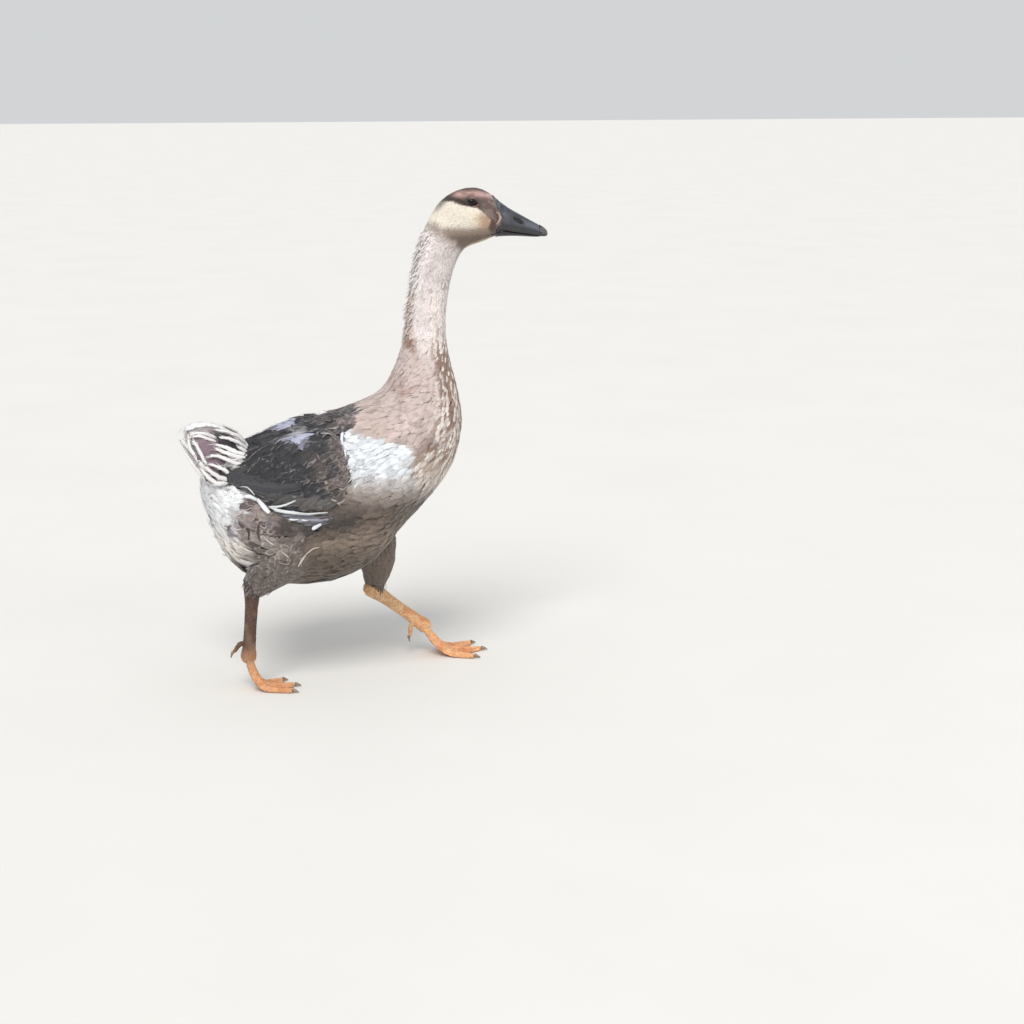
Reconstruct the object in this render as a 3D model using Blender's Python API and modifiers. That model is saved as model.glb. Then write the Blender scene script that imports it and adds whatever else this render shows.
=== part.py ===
"""A domestic goose in mid-stride, life size, as a still museum model.

The goose faces +X with its left side at +Y and stands on z = 0. The right leg is behind, pushing off
on its toes, and the left foot is set down in front. Numbers in the tables are in units of one seven
hundredth of the height of the crown above the floor, which is one millimetre on this bird.
"""
import math

import bmesh
import bpy
import numpy as np
from mathutils import Vector

CROWN_HEIGHT = 0.700
UNIT = CROWN_HEIGHT / 700
GAP = 0.35 * UNIT                   # clearance between neighbouring pieces
MIDDLE_X = 8.5                      # middle of the length from bill tip to tail tip
LEG_SPACING = 53                    # each leg's distance from the middle plane

# One row for each section of the body, from the tail to the bill:
# back x, back z, belly x, belly z, half width, and how far down from the back the widest place lies.
BODY = (
    (-203, 325, -224, 304, 24, 0.50),    # 0 root of the tail
    (-193, 334, -231, 284, 44, 0.50),
    (-172, 343, -221, 243, 62, 0.50),    # 2 under the tail
    (-145, 352, -208, 199, 79, 0.52),
    (-112, 362, -176, 161, 93, 0.53),    # 4 vent
    (-72, 376, -122, 143, 102, 0.55),
    (-30, 391, -55, 143, 106, 0.55),     # 6 belly
    (8, 404, 5, 168, 105, 0.53),
    (30, 416, 48, 217, 99, 0.52),        # 8 keel
    (41, 431, 94, 262, 87, 0.52),
    (47, 445, 128, 307, 72, 0.52),       # 10 breast
    (52, 459, 142, 360, 56, 0.52),
    (57, 475, 139, 405, 43, 0.50),       # 12 foot of the neck
    (62, 495, 128, 449, 34, 0.50),
    (66, 520, 121, 490, 29.5, 0.50),     # 14 lower neck
    (70, 552, 122, 533, 27, 0.50),
    (76, 590, 130, 576, 25.5, 0.50),     # 16 upper neck
    (84, 622, 139, 599, 25.5, 0.52),
    (96, 650, 148, 613, 27, 0.55),       # 18 nape and throat
    (114, 679, 159, 618, 28.5, 0.57),
    (139, 695, 171, 621.5, 29, 0.58),    # 20 cheeks
    (165, 699, 181, 625, 26, 0.60),
    (184, 692, 190, 629, 22, 0.61),      # 22 forehead
    (197, 682, 196, 629, 18.5, 0.62),
)
TRUNK_END, NECK_MIDDLE, HEAD_START, LAST = 12, 15, 18, 23
BODY_SIDES = 24

# Ridge x, ridge z, edge x, edge z and half width of the bill's sections, from the face to the tip.
UPPER_BILL = (
    (198, 681, 196.6, 640, 17.5),
    (213, 670, 212, 637, 16),
    (228, 661.5, 229, 634.5, 14.5),
    (241, 654.3, 245, 632, 13.5),
    (254, 647.2, 257, 630.2, 12),
    (263, 642.4, 265, 629.4, 9.5),
    (268.5, 637.8, 269, 629.6, 5.5),
    (270.6, 634, 270.3, 631, 2),
)
LOWER_BILL = (
    (196.9, 639.5, 197.2, 629.2, 15.5),
    (212, 636.5, 212, 629.6, 14),
    (229, 634, 228.5, 629.3, 12.5),
    (245, 631.5, 243, 628.3, 11.5),
    (256, 629.8, 254, 627.8, 9),
    (261.5, 629.0, 260.5, 628.2, 4),
)

# x, y, z of the lower edge, x, y, z of the upper edge, and half the thickness of the folded wing.
WING = (
    (-38, 97, 303, -38, 87, 335, 7),
    (-60, 105, 277, -54, 64, 371, 19),
    (-100, 102, 266, -94, 53, 368, 22),
    (-144, 89, 274, -136, 38, 353, 19),
    (-179, 71, 292, -171, 28, 341, 14),
    (-203, 54, 303, -198, 26, 331, 9),
    (-218, 43, 310, -216, 34, 320, 4),
)

TAIL_FEATHERS = 9
TAIL_ROOT = (-180, 38, 337, 40)     # x, half width, height in the middle, and how far the sides droop
TAIL_TIP = (-254, 62, 372, 68)      # the same at the feathers' tips
TAIL_RETREAT = 24                   # how much shorter the outer feathers are
TAIL_ARCH = 17                      # rise of the middle of each feather above a straight line
TAIL_THICKNESS = 4

# x, y, z and radius down the feathered thighs.
THIGHS = {
    "right": ((-92, 62, 240, 44), (-124, 60, 197, 38), (-152, 56, 170, 27), (-170, 53, 151, 17)),
    "left": ((-22, 60, 232, 48), (14, 58, 186, 42), (26, 55, 149, 27), (21, 53, 113, 14)),
}
# Hock x, z and ankle x, z; then the toes' bend towards the floor and their reach from the ankle.
SHANKS = {"right": (-170, 153, -179, 50), "left": (17, 109, 96, 46)}
TOE_BEND = {"right": (8, 30), "left": (22, 52)}
TOE_REACH = {"right": 64, "left": 88}
HIND_TOE = {"right": (-0.6, -0.8), "left": (-0.12, -1)}   # the way each hind toe points, x and z
# Distance along the shank and radius; the first rows round off the hock and the last ones the ankle.
SHANK_PROFILE = (
    (-0.115, 4), (-0.085, 8.6), (-0.02, 11.2), (0.06, 10.8), (0.16, 9.0), (0.30, 7.8), (0.60, 7.4),
    (0.88, 8.0), (0.95, 9.2), (1.0, 9.6), (1.05, 8.4), (1.08, 6), (1.095, 2.4),
)
SHANK_DEPTH = 1.2                   # depth from front to back over width
# Name, angle from the middle toe (outwards is positive), length as a share of the middle toe's, root's offset.
TOES = (("inner", -24, 0.86, -4.2), ("middle", 0, 1.0, 0), ("outer", 21, 0.96, 4.2))
TOE_RADII = (5.2, 6.2, 5.6, 5.0, 4.6, 3.8)
SOLE_DEPTH = 1.2                    # how much of each toe's round underside is flattened on the floor
WEB_THICKNESS = 2.0
WEB_NOTCH = 0.15                    # how far the web's free edge hangs back between the toes
TOE_COLUMNS = (0.55, 1.0)            # columns of the foot's surface, as shares of the toe's half width
CLAW_LENGTH = 9

EYE = (157, 18.0, 679)
EYE_RADIUS = 7.0

FINISHES = {                        # red, green and blue, then roughness
    "plumage_grey": ((0.42, 0.36, 0.33), 0.85),
    "plumage_buff": ((0.62, 0.55, 0.50), 0.85),
    "plumage_dark": ((0.09, 0.085, 0.085), 0.8),
    "plumage_white": ((0.80, 0.80, 0.78), 0.85),
    "bill_slate": ((0.07, 0.075, 0.09), 0.4),
    "leg_orange": ((0.72, 0.33, 0.14), 0.55),
    "claw_horn": ((0.25, 0.19, 0.15), 0.45),
    "eye_dark": ((0.03, 0.02, 0.015), 0.08),
}


def clear_scene():
    for obj in list(bpy.data.objects):
        bpy.data.objects.remove(obj, do_unlink=True)


def new_collection(name):
    made = bpy.data.collections.new(name)
    bpy.context.scene.collection.children.link(made)
    return made


def finish(name):
    """The named material, made on first use."""
    if name in bpy.data.materials:
        return bpy.data.materials[name]
    colour, roughness = FINISHES[name]
    made = bpy.data.materials.new(name)
    made.use_nodes = True
    made.diffuse_color = (*colour, 1)
    shader = made.node_tree.nodes["Principled BSDF"]
    shader.inputs["Base Color"].default_value = (*colour, 1)
    shader.inputs["Roughness"].default_value = roughness
    return made


def add_object(name, bm, collection, material=None):
    """A smooth-shaded object of this mesh, under the empty that carries the whole bird."""
    bmesh.ops.recalc_face_normals(bm, faces=bm.faces)
    mesh = bpy.data.meshes.new(name)
    bm.to_mesh(mesh)
    bm.free()
    mesh.shade_smooth()
    mesh.set_sharp_from_angle(angle=math.radians(50))
    obj = bpy.data.objects.new(name, mesh)
    collection.objects.link(obj)
    obj.parent = bird
    if material:
        mesh.materials.append(finish(material))
    else:
        obj.hide_render = True
        obj.display_type = "WIRE"
    return obj


def smooth_rows(rows, steps):
    """The rows with steps in each span, on a Catmull-Rom curve through every row."""
    rows = np.array(rows, float)
    padded = np.vstack([2 * rows[0] - rows[1], rows, 2 * rows[-1] - rows[-2]])
    made = []
    for i in range(len(rows) - 1):
        a, b, c, d = padded[i:i + 4]
        for t in np.arange(steps) / steps:
            made.append(0.5 * (2 * b + (c - a) * t + (2 * a - 5 * b + 4 * c - d) * t ** 2
                               + (3 * b - a - 3 * c + d) * t ** 3))
    made.append(rows[-1])
    return np.array(made)


def ring(centre, side, up, half_width, rise, drop, sides, power=2.0):
    """Points of a rounded section that reaches rise above its centre and drop below it."""
    points = []
    for k in range(sides):
        angle = 2 * math.pi * (k + 0.5) / sides
        c, s = math.cos(angle), math.sin(angle)
        across = math.copysign(abs(c) ** (2 / power), c) * half_width
        height = math.copysign(abs(s) ** (2 / power), s) * (rise if s > 0 else drop)
        points.append(centre + side * across + up * height)
    return points


def loft(rings):
    """A closed mesh through rings of equally many points, in table units."""
    bm = bmesh.new()
    rows = [[bm.verts.new(Vector(p) * UNIT) for p in points] for points in rings]
    sides = len(rows[0])
    for a, b in zip(rows, rows[1:]):
        for k in range(sides):
            bm.faces.new((a[k], a[(k + 1) % sides], b[(k + 1) % sides], b[k]))
    for points, row in ((rings[0], rows[0]), (rings[-1], rows[-1])):
        middle = bm.verts.new(sum((Vector(p) for p in points), Vector()) / sides * UNIT)
        for k in range(sides):
            bm.faces.new((row[k], row[(k + 1) % sides], middle))
    return bm


def slide_row(rows, i, neighbour, distance):
    """Moves a row of back and belly points towards its neighbour, or away where the distance is negative."""
    step = rows[neighbour] - rows[i]
    rows[i] = rows[i] + step * distance / min(math.hypot(step[0], step[1]), math.hypot(step[2], step[3]))


def body_rings(first, last, steps=2, start_gap=0.0, grow=0.0):
    """Sections of the body between two rows of BODY, the first set back by a gap, or all of it grown."""
    rows = smooth_rows(BODY, steps)[first * steps:last * steps + 1]
    slide_row(rows, 0, 1, start_gap - grow)
    if grow:
        slide_row(rows, -1, -2, -grow)
    rings = []
    for back_x, back_z, belly_x, belly_z, width, widest in rows:
        back, belly = Vector((back_x, 0, back_z)), Vector((belly_x, 0, belly_z))
        depth = (back - belly).length
        up = (back - belly).normalized()
        centre = back.lerp(belly, widest)
        rings.append(ring(centre, Vector((0, 1, 0)), up, width + grow, depth * widest + grow,
                          depth * (1 - widest) + grow, BODY_SIDES, 2.1))
    return rings


def tube_rings(path, sides=12, flatness=1.0, grow=0.0):
    """Round sections along a path of x, y, z and radius; flatness is their height over their width."""
    points = [Vector(p[:3]) for p in path]
    rings = []
    for i, point in enumerate(points):
        before, after = points[max(i - 1, 0)], points[min(i + 1, len(points) - 1)]
        along = (after - before).normalized()
        side = along.cross(Vector((0, 0, 1)))
        side = side.normalized() if side.length > 0.15 else Vector((0, -1, 0))
        if i and side.dot(previous) < 0:
            side = -side
        previous = side
        up = side.cross(along).normalized()
        radius = path[i][3] + grow
        rings.append(ring(point, side, up, radius, radius * flatness, radius * flatness, sides))
    return rings


def cut(obj, cutter, operation="DIFFERENCE"):
    modifier = obj.modifiers.new(f"{operation.lower()} {cutter.name}", "BOOLEAN")
    modifier.operation = operation
    modifier.solver = "EXACT"
    modifier.object = cutter


def mirrored(rows, sign):
    """The rows with each y, the second and, where there are two, the fifth number, on the given side."""
    return [tuple(v * sign if i % 3 == 1 and i < 6 else v for i, v in enumerate(row)) for row in rows]


def make_body():
    """Trunk, two lengths of neck and head, parted by thin cuts; the head has its eye sockets."""
    pieces = (
        ("trunk", 0, TRUNK_END, "plumage_grey"),
        ("neck_lower", TRUNK_END, NECK_MIDDLE, "plumage_buff"),
        ("neck_upper", NECK_MIDDLE, HEAD_START, "plumage_buff"),
        ("head", HEAD_START, LAST, "plumage_buff"),
    )
    for name, first, last, material in pieces:
        start_gap = 0 if first == 0 else GAP / UNIT
        made = add_object(name, loft(body_rings(first, last, start_gap=start_gap)), goose, material)
    for side, sign in (("left", 1), ("right", -1)):
        socket = make_ball(f"eye_socket_{side}", EYE_RADIUS + GAP / UNIT, sign, cutters)
        cut(made, socket)
        make_ball(f"eye_{side}", EYE_RADIUS, sign, goose, "eye_dark")
    return add_object("trunk_clearance", loft(body_rings(0, TRUNK_END, grow=1.8 * GAP / UNIT)), cutters)


def make_ball(name, radius, sign, collection, material=None):
    """An eyeball, or the ball that cuts its socket."""
    bm = bmesh.new()
    bmesh.ops.create_uvsphere(bm, u_segments=12, v_segments=8, radius=radius * UNIT)
    x, y, z = EYE
    bmesh.ops.translate(bm, verts=bm.verts, vec=Vector((x, y * sign, z)) * UNIT)
    return add_object(name, bm, collection, material)


def make_bill():
    """The two mandibles, the upper one domed over a flat edge and the lower one the other way up."""
    for name, table, share in (("bill_upper", UPPER_BILL, 0.96), ("bill_lower", LOWER_BILL, 0.06)):
        rings = []
        for top_x, top_z, edge_x, edge_z, width in smooth_rows(table, 2):
            top, edge = Vector((top_x, 0, top_z)), Vector((edge_x, 0, edge_z))
            depth = (top - edge).length
            rings.append(ring(top.lerp(edge, share), Vector((0, 1, 0)), (top - edge).normalized(), width,
                              depth * share, depth * (1 - share), 14, 2.2))
        add_object(name, loft(rings), goose, "bill_slate")


def wing_rings(sign, grow=0.0):
    """Lens-shaped sections of the folded wing, grown all round by the given amount."""
    rings = []
    rows = smooth_rows(mirrored(WING, sign), 2)
    if grow:
        rows[0] += (rows[0] - rows[1]) * grow / np.linalg.norm((rows[0] - rows[1])[:3])
        rows[-1] += (rows[-1] - rows[-2]) * grow / np.linalg.norm((rows[-1] - rows[-2])[:3])
    for low_x, low_y, low_z, top_x, top_y, top_z, thickness in rows:
        low, top = Vector((low_x, low_y, low_z)), Vector((top_x, top_y, top_z))
        up = (top - low).normalized()
        outward = up.cross(Vector((1, 0, 0))).normalized() * -sign
        half = (top - low).length / 2 + grow
        rings.append(ring((low + top) / 2, outward, up, thickness + grow, half, half, 20, 2.4))
    return rings


def make_wing(side, sign, trunk_clearance, tail):
    """A folded wing fitted against the trunk, its tip lying over the root of the tail."""
    wing = add_object(f"wing_{side}", loft(wing_rings(sign)), goose, "plumage_dark")
    cut(wing, trunk_clearance)
    cut(tail, add_object(f"wing_clearance_{side}", loft(wing_rings(sign, 1.5 * GAP / UNIT)), cutters))


def make_tail(trunk_clearance):
    """A fan of tail feathers, arched like a roof, with a round tip to each feather."""
    columns, rows = TAIL_FEATHERS * 3, 3
    root_x, root_half, root_z, root_droop = TAIL_ROOT
    tip_x, tip_half, tip_z, tip_droop = TAIL_TIP
    bm = bmesh.new()
    bmesh.ops.create_grid(bm, x_segments=columns, y_segments=rows, size=1)
    for vert in bm.verts:
        across, along = vert.co.x, (vert.co.y + 1) / 2
        feather_tip = abs(math.sin((across + 1) / 2 * math.pi * TAIL_FEATHERS))
        reach = along * (0.91 + 0.09 * feather_tip ** 0.7)
        root = Vector((root_x, root_half * across, root_z - root_droop * across ** 2))
        tip = Vector((tip_x + TAIL_RETREAT * across ** 2, tip_half * across, tip_z - tip_droop * across ** 2))
        vert.co = root.lerp(tip, reach) * UNIT
        vert.co.z += TAIL_ARCH * 4 * reach * (1 - reach) * UNIT
    tail = add_object("tail", bm, goose, "plumage_white")
    shell = tail.modifiers.new("thickness", "SOLIDIFY")
    shell.thickness = TAIL_THICKNESS * UNIT
    shell.offset = 0
    cut(tail, trunk_clearance)
    return tail


def shank_path(side, sign, end=0.0):
    """x, y, z and radius from the round of the hock to the round of the ankle."""
    hock_x, hock_z, ankle_x, ankle_z = SHANKS[side]
    hock = Vector((hock_x, LEG_SPACING * sign, hock_z))
    ankle = Vector((ankle_x, LEG_SPACING * sign, ankle_z))
    path = [(*hock.lerp(ankle, share), radius) for share, radius in SHANK_PROFILE]
    path[-1] = (*hock.lerp(ankle, SHANK_PROFILE[-1][0] + end), path[-1][3])
    return path


def toe_path(side, sign, angle, share, offset):
    """x, y, z and radius of a toe that curves down from the ankle and then lies along the floor."""
    _, _, ankle_x, ankle_z = SHANKS[side]
    bend, landing = TOE_BEND[side]
    reach = TOE_REACH[side] * share
    turn = math.radians(angle) * sign
    curve_steps, flat_steps = 6, 3
    count = curve_steps + flat_steps
    path = []
    for i in range(count + 1):
        radius = float(np.interp(i / count, np.linspace(0, 1, len(TOE_RADII)), TOE_RADII))
        floor = radius - SOLE_DEPTH
        t = min(i / curve_steps, 1)
        out = 2 * t * (1 - t) * bend + t * t * landing
        height = (1 - t) ** 2 * ankle_z + (1 - (1 - t) ** 2) * floor
        if i > curve_steps:
            out = landing + (reach - landing) * (i - curve_steps) / flat_steps
        sideways = LEG_SPACING * sign + out * math.sin(turn) + offset * sign
        path.append((ankle_x + out * math.cos(turn), sideways, height, radius))
    return np.array(path)


def row_at(path, place):
    """The path's row at a fractional index."""
    return np.array([np.interp(place, np.arange(len(path)), path[:, k]) for k in range(path.shape[1])])


def make_foot(side, paths):
    """Three toes joined by webs as one closed sheet, swollen along each toe and flat where it meets the floor."""
    rows = len(paths[0])
    normals = []
    for path in paths:
        up = np.cross(np.gradient(path[:, :3], axis=0), (0, 1, 0))
        normals.append(up / np.linalg.norm(up, axis=1, keepdims=True))
    top, under = [], []
    for i in range(rows):
        columns = []                # centre, upward normal and half thickness, from the inner toe to the outer
        here = [path[i] for path in paths]
        steps = [(b - a)[:3] for a, b in zip(here, here[1:])]
        gaps = [float(np.linalg.norm(step)) for step in steps]
        for j, toe in enumerate(here):
            radius, up = toe[3], normals[j][i]
            for direction in (-1, 1):
                beside = j - 1 if direction < 0 else j
                inside = 0 <= beside < 2
                beside = min(max(beside, 0), 1)
                across = steps[beside] / gaps[beside] * direction
                limit = min(radius, 0.4 * gaps[beside]) if inside else radius
                made = []
                for share in TOE_COLUMNS:
                    half = max(radius * math.sqrt(max(1 - (share * limit / radius) ** 2, 0)), WEB_THICKNESS / 2)
                    lower = 0.7 * (radius - half) if share * limit > 0.9 * radius else 0
                    made.append((toe[:3] + across * share * limit - up * lower, up, half))
                columns += made[::-1] + [(toe[:3], up, radius)] if direction < 0 else made
            if j == 2:
                continue
            for share in (1 / 3, 2 / 3):
                place = i * (1 - WEB_NOTCH * math.sin(math.pi * share))
                a, b = row_at(paths[j], place), row_at(paths[j + 1], place)
                between = (b - a)[:3]
                gap = float(np.linalg.norm(between))
                start = a[:3] + between / gap * min(a[3], 0.4 * gap)
                end = b[:3] - between / gap * min(b[3], 0.4 * gap)
                up = row_at(normals[j], place) + row_at(normals[j + 1], place)
                up /= np.linalg.norm(up)
                swell = max(a[3] - gap / 2, 0) * 0.8
                centre = start + (end - start) * share - up * 2.4 * (1 - swell / a[3])
                half = WEB_THICKNESS / 2 + swell
                centre[2] = max(centre[2], half + 0.4)
                columns.append((centre, up, half))
        top.append([centre + up * half for centre, up, half in columns])
        under.append([centre - up * half for centre, up, half in columns])
    top, under = np.array(top), np.array(under)
    for sheet in (top, under):
        sheet[:, :, 2] = np.maximum(sheet[:, :, 2], 0)

    bm = bmesh.new()
    sheets = [[[bm.verts.new(Vector(p) * UNIT) for p in row] for row in sheet] for sheet in (top, under)]
    last_row, last_column = rows - 1, top.shape[1] - 1
    for sheet in sheets:
        for i in range(last_row):
            for k in range(last_column):
                bm.faces.new((sheet[i][k], sheet[i][k + 1], sheet[i + 1][k + 1], sheet[i + 1][k]))
    up, down = sheets
    rim = [(0, k) for k in range(last_column)] + [(i, last_column) for i in range(last_row)]
    rim += [(last_row, k) for k in range(last_column, 0, -1)] + [(i, 0) for i in range(last_row, 0, -1)]
    for (i, k), (m, n) in zip(rim, rim[1:] + rim[:1]):
        bm.faces.new((up[i][k], up[m][n], down[m][n], down[i][k]))
    return add_object(f"foot_{side}", bm, goose, "leg_orange")


def make_claw(name, path):
    """A short nail, curved a little downwards, that goes on from the end of a toe."""
    end, before = Vector(path[-1][:3]), Vector(path[-2][:3])
    ahead = (end - before).normalized()
    up = ahead.cross(Vector((0, 0, 1))).normalized().cross(ahead)
    start_radius = path[-1][3] * 0.7
    rows = []
    for share in (0, 0.35, 0.7, 1):
        point = end + ahead * (GAP / UNIT + 0.2 + CLAW_LENGTH * share) + up * (1.3 - 2.2 * share ** 2)
        rows.append((*point, start_radius * (1 - share) + 0.6))
    add_object(name, loft(tube_rings(rows, 8)), goose, "claw_horn")


def make_leg(side, sign, trunk_clearance):
    """Feathered thigh, bare shank, webbed foot, hind toe and four claws."""
    thigh_rows = smooth_rows(mirrored(THIGHS[side], sign), 2)
    thigh = add_object(f"thigh_{side}", loft(tube_rings(thigh_rows, 16)), goose, "plumage_grey")
    cut(thigh, trunk_clearance)
    path = shank_path(side, sign)
    add_object(f"shank_{side}", loft(tube_rings(path, 12, SHANK_DEPTH)), goose, "leg_orange")
    around = loft(tube_rings(shank_path(side, sign, end=0.004), 12, SHANK_DEPTH, GAP / UNIT))
    clearance = add_object(f"shank_clearance_{side}", around, cutters)
    cut(thigh, clearance)

    paths = [toe_path(side, sign, angle, share, offset) for _, angle, share, offset in TOES]
    cut(make_foot(side, paths), clearance)
    for (name, *_), toe in zip(TOES, paths):
        make_claw(f"claw_{name}_{side}", toe)

    hock_x, hock_z, ankle_x, ankle_z = SHANKS[side]
    ankle = Vector((ankle_x, LEG_SPACING * sign, ankle_z))
    down = Vector((ankle_x - hock_x, 0, ankle_z - hock_z)).normalized()
    back = Vector((down.z, 0, -down.x))
    inner = Vector((0, -sign, 0))
    root = ankle - down * 17 + back * 2 + inner * 2
    elbow = root + back * 11 + inner * 2
    point_x, point_z = HIND_TOE[side]
    tip = elbow + Vector((point_x, 0, point_z)) * 14
    hind = smooth_rows([(*root, 3.8), (*root.lerp(elbow, 0.6), 3.8), (*elbow, 3.6), (*tip, 2.8)], 2)
    cut(add_object(f"hind_toe_{side}", loft(tube_rings(hind, 10)), goose, "leg_orange"), clearance)
    make_claw(f"claw_hind_{side}", hind)


clear_scene()
goose = new_collection("goose")
cutters = new_collection("cutters")
bird = bpy.data.objects.new("bird", None)
bird.location.x = -MIDDLE_X * UNIT
goose.objects.link(bird)
clearance = make_body()
make_bill()
fan = make_tail(clearance)
for side_name, side_sign in (("left", 1), ("right", -1)):
    make_wing(side_name, side_sign, clearance, fan)
    make_leg(side_name, side_sign, clearance)
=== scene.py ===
"""A domestic goose, grey, brown and white with a slate bill: its skin, feathers, bill, eyes and legs."""
import math
from types import SimpleNamespace

import bmesh
import bpy
import numpy as np
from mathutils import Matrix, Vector
from mathutils.bvhtree import BVHTree
from mathutils.kdtree import KDTree


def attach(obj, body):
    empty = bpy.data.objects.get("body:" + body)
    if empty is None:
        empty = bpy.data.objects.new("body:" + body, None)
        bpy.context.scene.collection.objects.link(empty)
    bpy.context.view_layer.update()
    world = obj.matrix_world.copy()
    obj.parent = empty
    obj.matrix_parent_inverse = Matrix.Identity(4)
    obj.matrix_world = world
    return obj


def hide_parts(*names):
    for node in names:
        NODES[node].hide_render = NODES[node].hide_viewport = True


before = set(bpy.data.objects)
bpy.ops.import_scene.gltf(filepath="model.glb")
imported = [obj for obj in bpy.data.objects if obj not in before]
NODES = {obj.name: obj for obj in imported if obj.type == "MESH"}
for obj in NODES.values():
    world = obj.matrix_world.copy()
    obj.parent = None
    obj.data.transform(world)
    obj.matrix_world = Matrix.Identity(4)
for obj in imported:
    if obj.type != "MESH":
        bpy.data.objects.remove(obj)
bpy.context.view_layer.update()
MM = 0.001
SIDES = (("left", 1), ("right", -1))
SKIN_VOXEL, BILL_VOXEL, LEG_VOXEL = 0.0031, 0.0007, 0.00085
CAMERA_AT = np.array((-0.4487, -2.644, 0.86))

# The source's sections of trunk, neck and head: back x, z, belly x, z, half width, widest share, in mm.
MIDDLE_X = 8.5
BODY = (
    (-203, 325, -224, 304, 24, .50), (-193, 334, -231, 284, 44, .50), (-172, 343, -221, 243, 62, .50),
    (-145, 352, -208, 199, 79, .52), (-112, 362, -176, 161, 93, .53), (-72, 376, -122, 143, 102, .55),
    (-30, 391, -55, 143, 106, .55), (8, 404, 5, 168, 105, .53), (30, 416, 48, 217, 99, .52),
    (41, 431, 94, 262, 87, .52), (47, 445, 128, 307, 72, .52), (52, 459, 142, 360, 56, .52),
    (57, 475, 139, 405, 43, .50), (62, 495, 128, 449, 34, .50), (66, 520, 121, 490, 29.5, .50),
    (70, 552, 122, 533, 27, .50), (76, 590, 130, 576, 25.5, .50), (84, 622, 139, 599, 25.5, .52),
    (96, 650, 148, 613, 27, .55), (114, 679, 159, 618, 28.5, .57), (139, 695, 171, 621.5, 29, .58),
    (165, 699, 181, 625, 26, .60), (184, 692, 190, 629, 22, .61), (197, 682, 196, 629, 18.5, .62),
)
EYE = np.array((0.1485, 0.018, 0.679))
EYE_RADIUS = 0.007
EYE_BULGE = 0.0052                  # how far the eye's front stands beyond its middle
EYE_SLIT = math.radians(-22)        # the eye's corners lie on a line that falls towards the bill
SLIT_LENGTH, SLIT_HEIGHT = 0.0054, 0.0036       # half the length and the height between the lids


def rgb(*values):
    """Linear colour from 0 to 255 sRGB values."""
    c = np.array(values, float) / 255
    return np.where(c <= 0.04045, c / 12.92, ((c + 0.055) / 1.055) ** 2.4)


def blend(a, b, share):
    """a where share is 0 and b where it is 1, for arrays of colours or vectors."""
    share = np.asarray(share, float)[..., None]
    return a * (1 - share) + b * share


def step(value, low, high):
    """Smooth step from 0 at low to 1 at high."""
    t = np.clip((value - low) / (high - low), 0, 1)
    return t * t * (3 - 2 * t)


def steps_of(measures, **limits):
    """A share from 0 to 1: the product of one smooth step for each pair of a measure's limits."""
    share = 1.0
    for name, ends in limits.items():
        for low, high in zip(ends[::2], ends[1::2]):
            share = share * step(measures[name], low, high)
    return share


def unit(vectors):
    return vectors / np.maximum(np.linalg.norm(vectors, axis=-1, keepdims=True), 1e-12)


def hill(value, centre, wide):
    """A bell curve: 1 at the centre, falling off over the width."""
    return np.exp(-((value - centre) / wide) ** 2)


def hashed(cells, seed):
    """A random number from 0 to 1 for each integer cell."""
    n = np.zeros(cells.shape[:-1], np.uint64) + np.uint64(seed * 7919 + 17)
    for k in range(cells.shape[-1]):
        n = (n ^ (cells[..., k].astype(np.int64) + 100000).astype(np.uint64)) * np.uint64(0x9E3779B97F4A7C15)
        n ^= n >> np.uint64(29)
    return (n >> np.uint64(11)).astype(float) / 2.0 ** 53


def wave(points, size, seed):
    """Smooth noise from 0 to 1 over points, with features of the given size."""
    p = points / size
    base = np.floor(p).astype(np.int64)
    t = p - base
    t = t * t * (3 - 2 * t)
    total = np.zeros(len(p))
    for corner in range(8):
        offset = np.array([(corner >> k) & 1 for k in range(3)])
        weight = np.prod(np.where(offset, t, 1 - t), axis=1)
        total += weight * hashed(base + offset, seed)
    return total


def cells(points, size, seed):
    """Distances to the nearest and second nearest of scattered centres, in shares of the size."""
    p = points / size
    base = np.floor(p).astype(np.int64)
    near = np.full((len(p), 2), 9.0)
    for i in range(27):
        cell = base + np.array([i % 3 - 1, i // 3 % 3 - 1, i // 9 - 1])
        centre = cell + np.stack([hashed(cell, seed + k) for k in range(3)], -1)
        d = np.linalg.norm(p - centre, axis=1)
        near[:, 1] = np.minimum(near[:, 1], np.maximum(near[:, 0], d))
        near[:, 0] = np.minimum(near[:, 0], d)
    return near[:, 0], near[:, 1]


def ring_quads(rings, sides):
    """Faces between the rings of a tube whose vertices are listed ring by ring."""
    i, k = np.divmod(np.arange((rings - 1) * sides), sides)
    after = (k + 1) % sides
    return np.stack([i * sides + k, i * sides + after, (i + 1) * sides + after, (i + 1) * sides + k], 1)


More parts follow.
